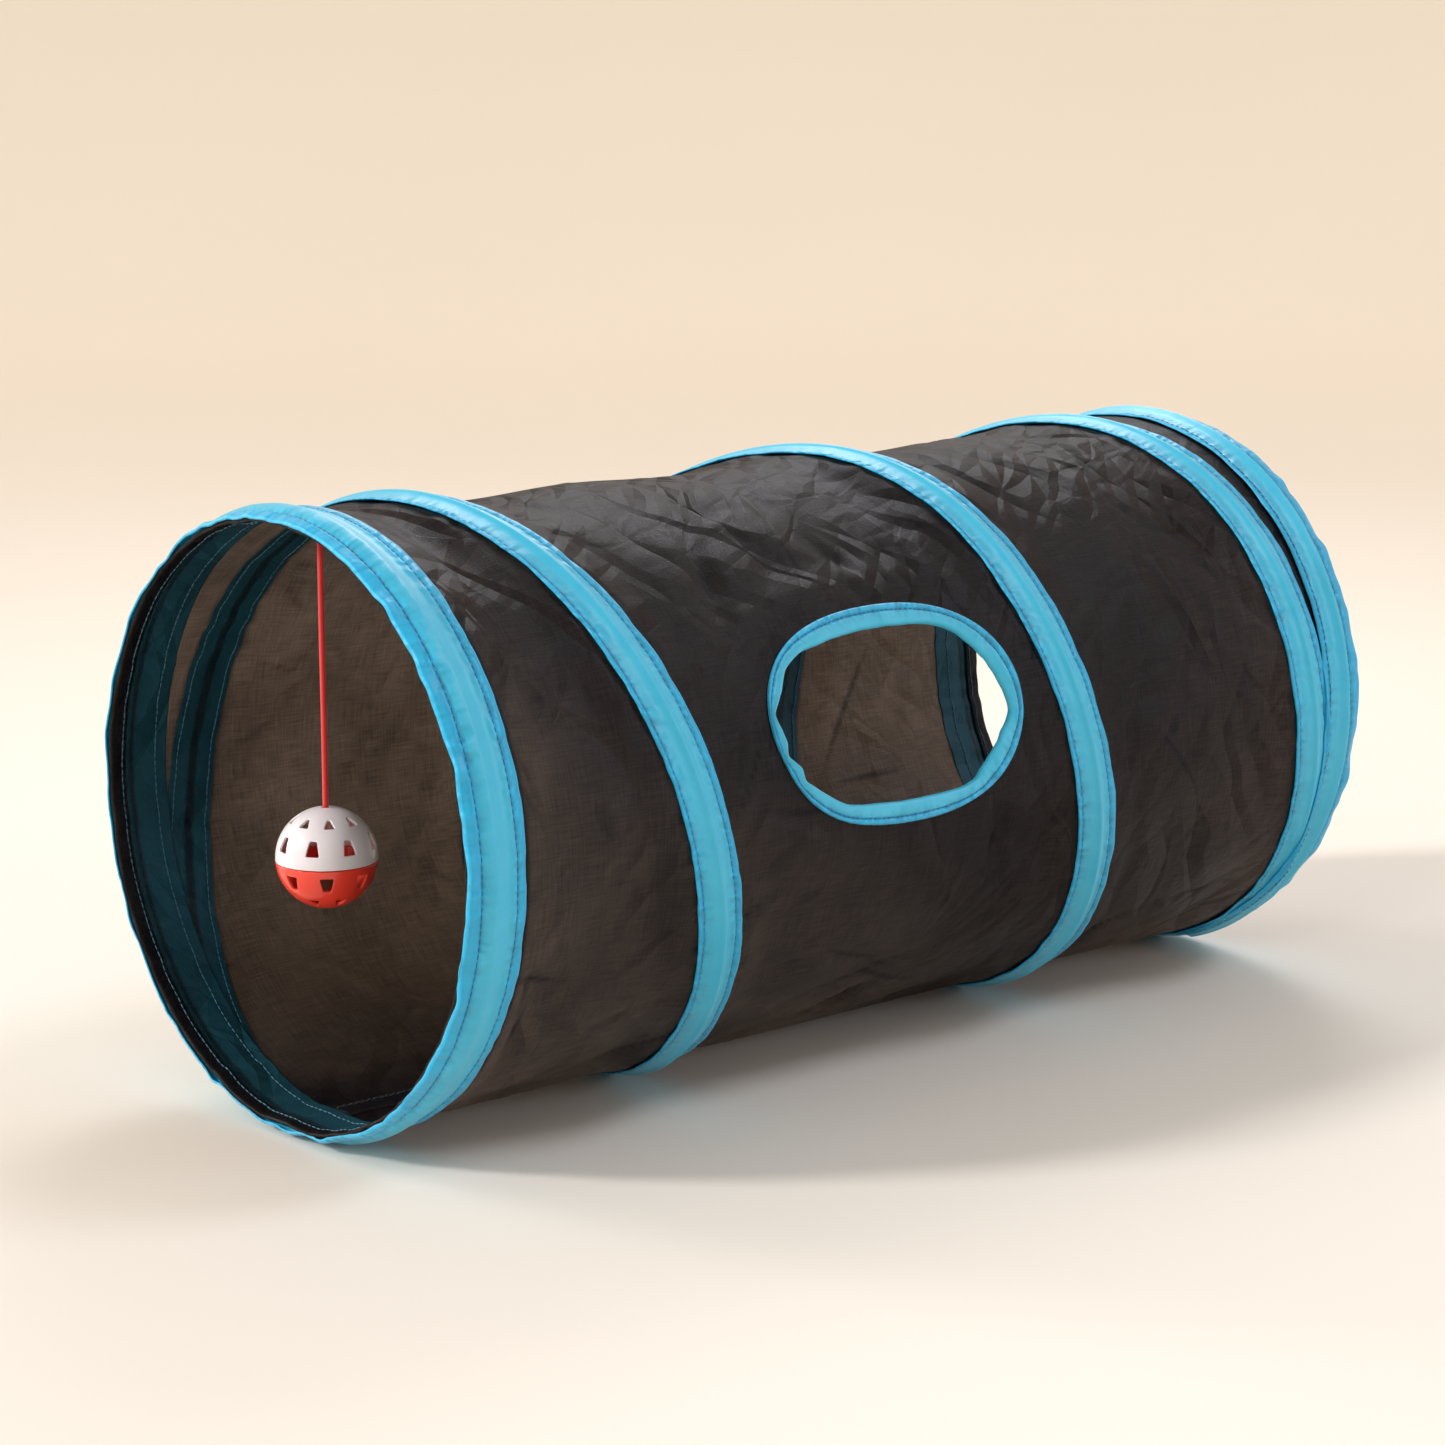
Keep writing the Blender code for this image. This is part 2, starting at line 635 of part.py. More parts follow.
def bell_shell(side):
    """Half of the bell, with the narrow flange where the two halves are crimped."""
    start = LAYER_GAP / 2
    flange = BELL_RADIUS + BELL_FLANGE
    foot = math.asin((start + BELL_WALL) / BELL_RADIUS)
    outside = arc(BELL_RADIUS, foot, math.pi / 2, BELL_ARC_STEPS)
    inside = arc(BELL_INSIDE, math.pi / 2, math.asin(start / BELL_INSIDE), BELL_ARC_STEPS)
    profile = [(flange, start), (flange, start + BELL_WALL)] + outside[:-1] + [(0, BELL_RADIUS)]
    profile += [(0, BELL_INSIDE)] + inside[1:]
    return revolve("bell_shell", [(radius, height * side) for radius, height in profile], BELL_STEPS)


def slot_cutter():
    """The bell's slot: a narrow cut with a round hole at each end."""
    end = BELL_SLOT_END / 2
    reach = BELL_SLOT_LENGTH / 2 - end
    opening = math.asin(BELL_SLOT_WIDTH / BELL_SLOT_END)
    sweep = 2 * (math.pi - opening)
    outline = []
    for side in (1, -1):
        for i in range(BELL_SLOT_STEPS + 1):
            turn = opening - math.pi + sweep * i / BELL_SLOT_STEPS
            outline.append((side * (reach + end * math.cos(turn)), side * end * math.sin(turn)))
    heights = (-BELL_RADIUS - CUTTER_OVERRUN, -BELL_INSIDE / 2)
    return loft("slot", [[Vector((x, y, z)) for x, y in outline] for z in heights], ring=False)


# The pieces, body by body


def make_mouth(side, word, steel, tape, cloth, carrier):
    """Ring, ferrule, band and hem of one mouth. side is -1 at the front and 1 at the rear."""
    home = -carrier.location
    place(f"{word}_ring_wire", hoop(side), steel, carrier, home)
    place(f"{word}_ring_ferrule", ferrule(side), steel, carrier, home)
    place(f"{word}_mouth_band", mouth_band(side), tape, carrier, home)
    place(f"{word}_hem", hem(side), cloth, carrier, home)


def make_tube(steel, tape, cloth, carrier):
    """Cloth, spiral, binding and seam: what folds up when the tunnel is closed."""
    home = -carrier.location
    fabric = place("tunnel_fabric", tunnel_cloth(), cloth, carrier, home)
    thickness = fabric.modifiers.new("thickness", "SOLIDIFY")
    thickness.thickness = FABRIC_THICKNESS
    thickness.offset = -1
    combine(fabric, "DIFFERENCE", "side_opening", hole_cutter(), home)
    place("side_hole_binding", hole_binding(), tape, carrier, home)
    place("spiral_wire", spiral_wire(), steel, carrier, home)
    place("spiral_band", spiral_band(), tape, carrier, home)
    place("lengthwise_seam", lengthwise_seam(), cloth, carrier, home)


def make_cord(cloth, red, mouth):
    """Tab, loop, cord and knot. Returns the pivot that the ball turns about."""
    place("hanging_tab", hanging_tab(), cloth, mouth, -mouth.location)
    loop_pivot = pivot("cord_loop_pivot", Vector((TAB_X, 0, LOOP_HEIGHT)) - mouth.location, mouth)
    loop = place("cord_top_loop", cord_loop(), red, loop_pivot)
    whipping = bead("whipping", WHIPPING_DIAMETER, WHIPPING_DIAMETER)
    combine(loop, "UNION", "cord_whipping", whipping, (0, 0, -WHIPPING_DROP))
    cord_pivot = pivot("cord_pivot", (0, 0, -WHIPPING_DROP), loop_pivot)
    place("hanging_cord", cord(), red, cord_pivot, (0, 0, -CORD_DROP))
    knot = bead("knot", KNOT_DIAMETER, KNOT_HEIGHT)
    place("cord_stopper_knot", knot, red, cord_pivot, (0, 0, KNOT_RISE - BALL_DROP))
    return pivot("ball_pivot", (0, 0, -BALL_DROP), cord_pivot)


def make_ball(white, red, ball_pivot):
    waist = (WAIST_WINDOW_HEIGHT, WAIST_WINDOW_TOP, WAIST_WINDOW_BOTTOM)
    pole = (POLE_WINDOW_HEIGHT, POLE_WINDOW_TOP, POLE_WINDOW_BOTTOM)
    half_step = math.pi / WINDOWS_AROUND
    upper = place("ball_upper_half", ball_upper(), white, ball_pivot)
    lower = place("ball_lower_half", ball_lower(), red, ball_pivot)
    for half, side, turn in ((upper, 1, UPPER_WINDOW_TURN), (lower, -1, LOWER_WINDOW_TURN)):
        at_waist = window_cutters(side, WAIST_WINDOW_LATITUDE, turn, *waist)
        at_pole = window_cutters(side, POLE_WINDOW_LATITUDE, turn + half_step, *pole)
        combine(half, "DIFFERENCE", f"{half.name}_waist_windows", at_waist)
        combine(half, "DIFFERENCE", f"{half.name}_pole_windows", at_pole)


def make_bell(brass, steel, ball_pivot):
    """The bell rolls about the ball's middle, and its pellet about its own."""
    bell_pivot = pivot("bell_pivot", (0, 0, 0), ball_pivot)
    pellet_pivot = pivot("pellet_pivot", (0, 0, -BELL_DROP), bell_pivot)
    home = (0, 0, -BELL_DROP)
    place("bell_upper_shell", bell_shell(1), brass, bell_pivot, home)
    lower = place("bell_lower_shell", bell_shell(-1), brass, bell_pivot, home)
    combine(lower, "DIFFERENCE", "bell_slot", slot_cutter(), home)
    pellet = bead("pellet", PELLET_DIAMETER, PELLET_DIAMETER)
    place("bell_pellet", pellet, steel, pellet_pivot, (0, 0, -PELLET_DROP))


def main():
    clear_scene()
    steel = material("spring steel", (0.55, 0.56, 0.58), 0.35, 1.0)
    tape = material("light blue tape", (0.22, 0.66, 0.86), 0.6)
    cloth = material("black polyester", (0.035, 0.033, 0.036), 0.55)
    red_cord = material("red cord", (0.72, 0.03, 0.03), 0.6)
    white = material("white plastic", (0.88, 0.86, 0.88), 0.3)
    red_plastic = material("red plastic", (0.86, 0.06, 0.04), 0.25)
    brass = material("dark brass", (0.35, 0.25, 0.14), 0.35, 1.0)
    front = pivot("front_mouth", (-HOOP_X, 0, AXIS_HEIGHT))
    rear = pivot("rear_mouth", (HOOP_X, 0, AXIS_HEIGHT))
    make_mouth(-1, "front", steel, tape, cloth, front)
    make_mouth(1, "rear", steel, tape, cloth, rear)
    make_tube(steel, tape, cloth, front)
    ball_pivot = make_cord(cloth, red_cord, front)
    make_ball(white, red_plastic, ball_pivot)
    make_bell(brass, steel, ball_pivot)


main()
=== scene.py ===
"""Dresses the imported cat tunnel: cloth, tapes, stitches, cord, ball and bell, on a plain pale floor.

Metres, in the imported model's frame: the tube lies along X with its front mouth at -X and stands on z = 0.
Angles round the tube start at the bottom and rise on the +Y side. Heights are above the cloth's round.
"""

import json
import math

import bmesh
import bpy
import numpy as np
from mathutils import Matrix, Vector


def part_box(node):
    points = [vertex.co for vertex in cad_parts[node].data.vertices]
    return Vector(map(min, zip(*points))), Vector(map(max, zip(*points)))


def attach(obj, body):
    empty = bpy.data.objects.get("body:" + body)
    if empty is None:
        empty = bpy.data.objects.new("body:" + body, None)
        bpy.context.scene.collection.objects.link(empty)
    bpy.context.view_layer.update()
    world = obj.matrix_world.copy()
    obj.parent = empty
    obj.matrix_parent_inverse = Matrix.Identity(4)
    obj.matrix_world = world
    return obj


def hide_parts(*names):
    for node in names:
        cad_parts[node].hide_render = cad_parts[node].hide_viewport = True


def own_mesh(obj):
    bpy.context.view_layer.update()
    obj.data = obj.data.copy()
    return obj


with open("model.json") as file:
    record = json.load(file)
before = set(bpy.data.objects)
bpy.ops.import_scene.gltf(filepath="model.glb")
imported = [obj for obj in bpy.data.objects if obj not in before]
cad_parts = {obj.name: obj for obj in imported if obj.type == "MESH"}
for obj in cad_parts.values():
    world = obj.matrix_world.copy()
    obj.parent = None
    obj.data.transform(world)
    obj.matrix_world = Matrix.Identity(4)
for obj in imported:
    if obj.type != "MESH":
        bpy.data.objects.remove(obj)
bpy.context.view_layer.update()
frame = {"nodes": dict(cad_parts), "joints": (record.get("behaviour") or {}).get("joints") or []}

bl_info = {
    "name": "Cat tunnel dressing",
    "version": (1, 0, 0),
    "blender": (4, 5, 0),
    "location": "View3D > Sidebar > Cat tunnel",
    "description": "Builds the cloth, tapes, stitches, cord and bell ball of a pop-up cat tunnel",
    "category": "Object",
}

# The tube
RIM = 0.250
AXIS_HEIGHT = 0.123931
FLAT_ANGLE = math.radians(7.5)
CLOTH_RADIUS = 0.1212
WIRE_RADIUS = 0.1228
WIRE_DIAMETER = 0.0020
CLOTH_END = 0.2217
LAYER_GAP = 0.0003
MERGE_DISTANCE = 1e-6
SLANT = (0.3, 0.5, 0.9)
TIP = 0.01
TURN = 2 * math.pi
MOUTHS = ((-1, "front"), (1, "rear"))

# Mouth bands, with the widths of the front and the rear one. A profile's rows are (distance from the rim,
# height of the tape's underside), for the front band. The rear one is narrower past its ridge.
MOUTH_WIDTHS = {-1: 0.0264, 1: 0.0240}
MOUTH_ROW = 0.0064
EDGE_TO_ROW = 0.0036
RIDGE_END = 0.0132
RING_PLACE = 0.0115
MOUTH_PROFILE = (
    (-0.0004, -0.0014), (0.0000, -0.0004), (0.0022, 0.0006), (0.0046, 0.0008), (0.0059, 0.0003),
    (0.0064, 0.0001), (0.0069, 0.0004), (0.0082, 0.0017), (0.0101, 0.0029), (0.0115, 0.0033),
    (0.0132, 0.0028), (0.0165, 0.0016), (0.0200, 0.0008), (0.0224, 0.0003), (0.0228, 0.0001),
    (0.0234, 0.0005), (0.0250, 0.0009), (0.0264, 0.0005),
)
RIM_TUCK = 0.0004
RIM_FLARE = 0.0014
RIM_SCALLOP = 0.0013
RIM_DROP = 0.0018
EDGE_RIPPLE = 0.0006
EDGE_LIFT = 0.0005
SEAM_PUCKER = 0.00030
PUCKER_REACH = 0.0030
STITCH_STRETCH = (0.86, 1.12)
BAND_STEPS = 680
BAND_COLUMNS = 42
BAND_SEEDS = {-1: 100, 1: 200}
RIM_SEEDS = {-1: 120, 1: 220}
# Where a mouth band crosses over the spiral tape: how fast it comes down beside it and past its tucked edge
CROSSING_FADE = 0.0012
TUCK_FADE = 0.002
CREST_REACH = 0.0040

# Spiral band. The profile's rows are (distance from the wire, height of the tape's underside).
SPIRAL_BAND_WIDTH = 0.0220
SPIRAL_START = 0.23585
SPIRAL_TURNS = 2.95
BAND_TUCK = 0.0030
SPIRAL_ROW = 0.0081
SPIRAL_STEPS = 1440
SPIRAL_COLUMNS = 31
NARROWEST_TAPE = 0.0015
SPRING_STEPS = 900
SPRING_SIDES = 12
SPRING_SHORTFALL = 0.02
SPIRAL_PROFILE = (
    (0.0000, 0.0034), (0.0005, 0.0033), (0.0013, 0.0027), (0.0040, 0.0017), (0.0064, 0.0009),
    (0.0078, 0.0003), (0.0081, 0.0001), (0.0086, 0.0004), (0.0100, 0.0008), (0.0110, 0.0005),
)
SPIRAL_SHARES = (
    (0.00, 0.000), (0.27, 0.063), (0.54, 0.128), (0.84, 0.252), (1.16, 0.350), (1.30, 0.430), (1.50, 0.572),
    (1.67, 0.630), (1.90, 0.714), (2.15, 0.730), (2.30, 0.788), (2.50, 0.906), (2.75, 0.961), (2.95, 1.000),
)

# Cloth between the bands
WAIST_DEPTH = 0.0022
WAIST_RUN = 0.020
FOLD_DEPTH = 0.0020
FOLDS_AROUND = 7
FOLD_LEAN = 0.110
CALM_CLOTH_SHARE = 1.55
SNAP_SHARES = (0.99, 1.12)
CLOTH_ROWS = 292
CLOTH_COLUMNS = 168
# Creases: (how many, half length, width, share of the deepest), and the width of the darker line along each:
# cloth folded double, and painted shade.
CREASES = ((44, 0.048, 0.024, 1.0), (150, 0.024, 0.012, 0.48), (330, 0.012, 0.0065, 0.20))
CREASE_SHADE_WIDTH = 0.0016
CREASE_SEED = 11
CREASE_BOW = 0.10
CREASE_LENGTHS = (0.5, 1.2)
CREASE_WIDTHS = (0.6, 1.2)
CREASE_DEPTHS = (0.35, 1.0)
CREASE_SIGNS = (1, -0.6)
CREASE_STEEPS = (0.2, 0.5)
CREASE_POWER = 1.2
# Where creases begin: past a tape's edge, past a mouth band and past the opening's outline, as a share
TAPE_MARGIN = (-0.003, 0.009)
MOUTH_MARGIN = (0.003, 0.008)
HOLE_MARGIN = (1.20, 0.25)
GATHERS = (110, 12)
GATHER_DEPTH = 0.0006
GATHER_REACH = 0.009
HEM_FOLD_START = 0.0012
HEM_FOLD_TIP = 0.0006
HEM_FOLD_DEPTH = 0.0011
HEM_WIDTH = 0.0083
HEM_REACH = 0.0283
HEM_SET_IN = 0.0002
HEM_STEPS = 560
HEM_COLUMNS = (10, 34)

# Bottom seam. The section's rows are (share of the half width, height).
SEAM_HALF_WIDTH = 0.0045
SEAM_SECTION = ((-1, 0.0), (-1, 0.0006), (-0.6, 0.0010), (0.6, 0.0010), (1, 0.0006), (1, 0.0))
SEAM_RUFFLE = 0.0003
SEAM_WANDER = 0.12
ZIGZAG_SHARE = 0.55
SEAM_STITCH_HEIGHT = 0.0013
SEAM_STEPS = 300

# The cloth's fine crinkles, in its material: (lean, cell length, cell width, depth)
CRINKLES = ((0.45, 0.070, 0.026, 0.0075), (-0.75, 0.042, 0.015, 0.0042), (1.9, 0.030, 0.012, 0.0012))
# How much of the cloth's look is light that comes through it
GLOW_SHARE = 0.40

# Side opening
HOLE_LENGTH = 0.119
HOLE_HEIGHT = 0.0706
HOLE_X = -0.0293
HOLE_ANGLE = math.radians(253.3)
HOLE_POWER = 2.2
BINDING_ROW = 0.30
BINDING_LIFTS = ((0.0006, 27, 303), (0.0003, 74, 304))
# The binding's edges: (degrees round the opening from its rear end, millimetres outside the cloth's cut edge)
BINDING_OUTSIDE = (
    (7, 8.6), (22, 8.9), (36, 10.3), (50, 11.2), (71, 10.6), (86, 9.6), (102, 8.9), (116, 9.0), (129, 8.2),
    (142, 7.4), (154, 6.6), (168, 6.6), (180, 8.8), (200, 9.9), (226, 10.0), (259, 9.4), (294, 9.8),
    (317, 9.2), (340, 8.1),
)
BINDING_INSIDE = (
    (10, 1.7), (24, -0.9), (35, -0.5), (48, 1.5), (54, 3.6), (62, 3.4), (68, 2.6), (81, 0.8), (90, 0.3),
    (104, 0.3), (120, 2.0), (134, 1.2), (144, 1.7), (151, 3.1), (158, 0.7), (164, 2.4), (168, 4.4),
    (175, 2.5), (181, 4.3), (188, 7.0), (195, 4.6), (202, 3.3), (214, 4.5), (229, 3.4), (240, 0.9),
    (252, 0.0), (280, -0.1), (296, 1.4), (304, 1.4), (311, 0.9), (320, -0.8), (332, -2.4), (350, -2.1),
)
# The binding's section: (share of the way from its outer edge to its fold, height)
BINDING_SECTION = (
    (0.00, 0.0001), (0.00, 0.0009), (0.10, 0.0013), (0.22, 0.0010), (0.30, 0.0004), (0.38, 0.0010),
    (0.60, 0.0016), (0.84, 0.0016), (0.95, 0.0012), (1.00, 0.0002), (0.98, -0.0008), (0.90, -0.0016),
    (0.70, -0.0020), (0.40, -0.0019), (0.12, -0.0016), (0.04, -0.0011),
)
CUT_MARGIN = 0.0012
BINDING_WIDTH = 0.0085
BINDING_STEPS = 480
BINDING_COLUMNS = 44
OUTLINE_POINTS = 4001
ROUNDING_POINTS = 9
OUTSIDE_ROUNDING = 8
INSIDE_ROUNDING = 1.5
CUT_ROUNDING = 3

# Cord and its fittings
CORD_X = -0.2261
CORD_DIAMETER = 0.0024
CORD_LENGTH = 0.1055
CORD_TOP = 0.233698
CORD_BOW = 0.0009
BOW_LEAN = 0.6
CORD_POINTS = 61
CORD_SIDES = 20
LOOP_STEPS = 48
LOOP_SIDES = 16
LOOP_CENTRE = 0.240064
LOOP_RADIUS = 0.002666
CORD_TUCK = 0.0006
WHIPPING_CENTRE = 0.235698
WHIPPING_REACH = 0.0015
WHIPPING_THREAD = 0.00034
WHIPPING_SWEEP = math.radians(150)
WHIPPING_TURNS = 7
WHIPPING_SIDES = 8
COIL_STEPS = 24
KNOT_DIAMETER = 0.0056
KNOT_HEIGHT = 0.0044
KNOT_INSET = 0.00115
KNOT_STRAND = 0.00112
KNOT_WAVE = 0.38
KNOT_STEPS = 72
KNOT_SIDES = 14
TAB_HALF_THICKNESS = 0.0003
TAB_SHOULDER = 0.0006
TAB_CORNER = 0.0004
TAB_LENGTH = 0.016
TAB_BEND_POINTS = 15

# Ball and bell
BALL_CENTRE = 0.109498
BALL_RADIUS = 0.020
BALL_WALL = 0.0013
BALL_SEAM_DROP = 0.0010
BALL_LIP_HEIGHT = 0.0014
BALL_LIP_WALL = 0.0008
CORD_HOLE = 0.0016
WINDOWS_AROUND = 8
# Windows: (height, width at the top, width at the foot, latitude)
WAIST_WINDOW = (0.0060, 0.0028, 0.0054, math.radians(21.5))
POLE_WINDOW = (0.0044, 0.0010, 0.0044, math.radians(52))
CUTTER_REACH = 0.002
UPPER_WINDOW_TURN = math.radians(-52)
LOWER_WINDOW_TURN = math.radians(-35.4)
BALL_STEPS = 96
BALL_ARC_STEPS = 40
BALL_VOXEL = 0.00030
BALL_SOFTENING = (0.5, 3)
TRUE_FACE_REACH = 0.00012
BELL_CENTRE = 0.096098
BELL_RADIUS = 0.0050
BELL_WALL = 0.0005
BELL_FLANGE = 0.0005
BELL_ARC_STEPS = 16
BELL_STEPS = 48
PELLET_STEPS = 24
SHARP_ANGLE = math.radians(40)
SLOT_SIZE = (0.0052, 0.0010, 0.0060)
SLOT_DROP = 0.0050
SLOT_END = 0.0026
SLOT_HOLE_RADIUS = 0.0009
SLOT_HOLE_HEIGHTS = (-0.008, -0.002)

# The camera's place and aim, fitted to the photograph's perspective
CAMERA_PLACE = (-1.0398, -1.1633, 0.4532)
CAMERA_AIM = (0.6452, 0.7370, -0.2015)
CAMERA_LENS = 92.9
SENSOR_WIDTH = 36
# Broad far lamps: (name, direction, degrees across, strength, colour)
SUNS = (
    ("key", (-0.771, 0.375, 0.514), 8, 2.0, (1.0, 0.98, 0.95)),
    ("behind", (-0.25, 0.92, 0.32), 34, 1.9, (1.0, 0.97, 0.93)),
    ("fill", (-0.82, -0.34, 0.46), 14, 0.35, (0.93, 0.96, 1.0)),
    ("side", (0.55, -0.42, 0.72), 18, 0.8, (0.80, 0.87, 1.0)),
    ("low", (0.60, -0.72, 0.28), 16, 0.45, (0.76, 0.86, 1.0)),
)
BACK_LAMP_PLACE = (1.5, 1.35, 1.75)
BACK_LAMP_SIZE = 1.1
BACK_LAMP_WATTS = 3.4
BACK_LAMP_SPREAD = math.radians(64)
BACK_LAMP_COLOUR = (0.90, 0.93, 1.0)
ROOM_COLOUR = (1.0, 0.92, 0.83, 1)
ROOM_STRENGTH = 0.50
PAPER_NEAR = -6.0
PAPER_WALL = 2.6
PAPER_BEND = 1.2
PAPER_TOP = 5.0
PAPER_HALF_WIDTH = 6
PAPER_DROP = 0.0002
PAPER_BEND_POINTS = 25


def length(name, description, default):
    return bpy.props.FloatProperty(name=name, description=description, default=default, unit="LENGTH")


def colour(name, description, *default):
    return bpy.props.FloatVectorProperty(name=name, description=description, default=default, subtype="COLOR")


class TunnelSizes(bpy.types.PropertyGroup):
    """Sizes that change how the tunnel is dressed."""

    tape_thickness: length("Tape thickness", "Of all the light blue tapes", 0.0006)
    cloth_thickness: length("Cloth thickness", "Of the black polyester", 0.0005)
    stitch_pitch: length("Stitch pitch", "From one stitch to the next", 0.0031)
    stitch_length: length("Stitch length", "Of the thread that shows", 0.0026)
    thread_diameter: length("Thread diameter", "Of the sewing thread", 0.00050)
    crease_depth: length("Crease depth", "Of the cloth's deepest creases", 0.0034)


class TunnelColours(bpy.types.PropertyGroup):
    """Colours of the tunnel's materials, in linear light."""

    cloth: colour("Cloth", "Black polyester", 0.0070, 0.0065, 0.0100)
    cloth_glow: colour("Cloth glow", "Light through the cloth", 0.50, 0.425, 0.365)
    # Painted glow: the teal that light through the tape casts on the cloth's inside.
    painted_tape_glow: colour("Painted tape glow", "Cloth with tape behind", 0.018, 0.098, 0.140)
    tape: colour("Tape", "Light blue tape", 0.045, 0.50, 0.71)
    tape_edge: colour("Tape edge", "Tape where it is folded under", 0.010, 0.40, 0.68)
    thread: colour("Thread", "Sewing thread", 0.006, 0.14, 0.30)
    inner_thread: colour("Inner thread", "Sewing thread inside the tube", 0.020, 0.150, 0.230)
    black_thread: colour("Black thread", "Thread of the bottom seam", 0.02, 0.02, 0.025)
    red_cord: colour("Red cord", "Round braided cord", 0.74, 0.012, 0.010)
    white_plastic: colour("White plastic", "Upper half of the ball", 0.86, 0.80, 0.83)
    red_plastic: colour("Red plastic", "Lower half of the ball", 0.93, 0.060, 0.032)
    bell_metal: colour("Bell metal", "Dark pressed brass", 0.30, 0.20, 0.12)
    steel: colour("Spring steel", "Drawn spring wire", 0.55, 0.56, 0.58)
    floor: colour("Floor", "Paper under the tunnel", 0.84, 0.775, 0.695)
    # Darker than the floor: painted shade of the far paper, which is the same paper.
    backdrop: colour("Backdrop", "Paper behind the tunnel", 0.79, 0.685, 0.56)


def sizes():
    return bpy.context.scene.tunnel_sizes


def colours():
    return bpy.context.scene.tunnel_colours


# Curves and lines of random values


def through(table, at):
    """A smooth curve through a table's rows, level at both ends."""
    places, values = np.array(table).T
    slopes = np.zeros(len(places))
    slopes[1:-1] = (values[2:] - values[:-2]) / (places[2:] - places[:-2])
    at = np.clip(at, places[0], places[-1])
    i = np.clip(np.searchsorted(places, at, side="right") - 1, 0, len(places) - 2)
    run = places[i + 1] - places[i]
    t = (at - places[i]) / run
    bend = slopes[i] * t * (1 - t) ** 2 - slopes[i + 1] * t * t * (1 - t)
    return values[i] + (values[i + 1] - values[i]) * smooth(t) + run * bend


def smooth(share):
    share = np.clip(share, 0, 1)
    return share * share * (3 - 2 * share)


def past(value, margin):
    """0 up to the margin's start and 1 past its width."""
    start, width = margin
    return smooth((value - start) / width)


def wander(places, knots, seed, kinked=False):
    """Random values from -1 to 1 along a line that closes on itself. places are shares of its length."""
    values = np.random.default_rng(seed).uniform(-1, 1, knots)
    along = np.asarray(places) % 1 * knots
    low = np.floor(along).astype(int)
    t = along - low if kinked else smooth(along - low)
    return values[low % knots] * (1 - t) + values[(low + 1) % knots] * t


def from_bottom(angle):
    return np.abs((angle + math.pi) % TURN - math.pi)


def on_tube(x, angle, radius):
    """Points of the tube, which is cut flat where it stands."""
    low = np.minimum(from_bottom(angle), FLAT_ANGLE)
    standing = np.where(from_bottom(angle) < FLAT_ANGLE, math.cos(FLAT_ANGLE) / np.cos(low), 1)
    out = radius * standing
    height = np.maximum(AXIS_HEIGHT - out * np.cos(angle), LAYER_GAP / 2)
    return np.stack(np.broadcast_arrays(x, out * np.sin(angle), height), axis=-1)


def spiral_x(angle):
    return SPIRAL_START * (2 * through(SPIRAL_SHARES, angle / TURN) - 1)


def spiral_passes(angle):
    """The spiral's places along X on this line of the tube, one for each turn, far off past its ends."""
    passes = []
    for turn in range(math.ceil(SPIRAL_TURNS)):
        along = angle % TURN + TURN * turn
        passes.append(np.where(along <= TURN * SPIRAL_TURNS, spiral_x(along), 2 * RIM))
    return passes


def hole_reach(x, angle):
    """1 on the cloth's cut edge, less inside the opening and more outside it."""
    along = np.abs(x - HOLE_X) / (HOLE_LENGTH / 2)
    round_wall = from_bottom(angle - HOLE_ANGLE) * CLOTH_RADIUS / (HOLE_HEIGHT / 2)
    return (along**HOLE_POWER + round_wall**HOLE_POWER) ** (1 / HOLE_POWER)


# Meshes


def add_object(name, mesh, *materials):
    made = bpy.data.objects.new(name, mesh)
    bpy.context.collection.objects.link(made)
    for material in materials:
        mesh.materials.append(material)
    return made


def woven(name, points, along, across, closed=False, keep=None):
    """A smooth mesh over rows of points, with its UVs in metres. keep says which points' faces stay."""
    rows, columns = points.shape[:2]
    steps = rows if closed else rows - 1
    r, c = [grid.ravel() for grid in np.meshgrid(np.arange(steps), np.arange(columns - 1), indexing="ij")]
    corners = [(r, c), (r + 1, c), (r + 1, c + 1), (r, c + 1)]
    faces = np.stack([(row % rows) * columns + column for row, column in corners], axis=-1)
    across = np.broadcast_to(across, (rows, columns))
    uvs = [np.stack([along[row], across[row % rows, column]], axis=-1) for row, column in corners]
    uvs = np.stack(uvs, axis=1)
    if keep is not None:
        whole = keep[faces].all(axis=1)
        faces, uvs = faces[whole], uvs[whole]
    mesh = bpy.data.meshes.new(name)
    used, faces = np.unique(faces, return_inverse=True)
    mesh.from_pydata(points.reshape(-1, 3)[used].tolist(), [], faces.reshape(-1, 4).tolist())
    mesh.uv_layers.new(name="UVMap").data.foreach_set("uv", uvs.astype(np.float32).ravel())
    mesh.shade_smooth()
    return mesh


def line_mesh(name, rows, closed):
    """Rows of points joined by edges, for geometry nodes to work along."""
    mesh = bpy.data.meshes.new(name)
    points, edges = [], []
    for row in rows:
        start = len(points)
        points += [tuple(point) for point in row]
        edges += [(start + i, start + i + 1) for i in range(len(row) - 1)]
        if closed:
            edges.append((len(points) - 1, start))
    mesh.from_pydata(points, edges, [])
    return mesh


def coordinates(mesh):
    points = np.zeros(len(mesh.vertices) * 3, np.float32)
    mesh.vertices.foreach_get("co", points)
    return points.reshape(-1, 3)


def finished(name, form):
    mesh = bpy.data.meshes.new(name)
    form.to_mesh(mesh)
    form.free()
    return mesh


def baked(obj):
    """The plain mesh that an object's modifiers make."""
    return bpy.data.meshes.new_from_object(obj.evaluated_get(bpy.context.evaluated_depsgraph_get()))


def seal(mesh):
    """Joins points that meet, closes what is open and turns the faces outward."""
    form = bmesh.new()
    form.from_mesh(mesh)
    bmesh.ops.remove_doubles(form, verts=form.verts, dist=MERGE_DISTANCE)
    bmesh.ops.holes_fill(form, edges=form.edges)
    bmesh.ops.recalc_face_normals(form, faces=form.faces)
    form.to_mesh(mesh)
    form.free()


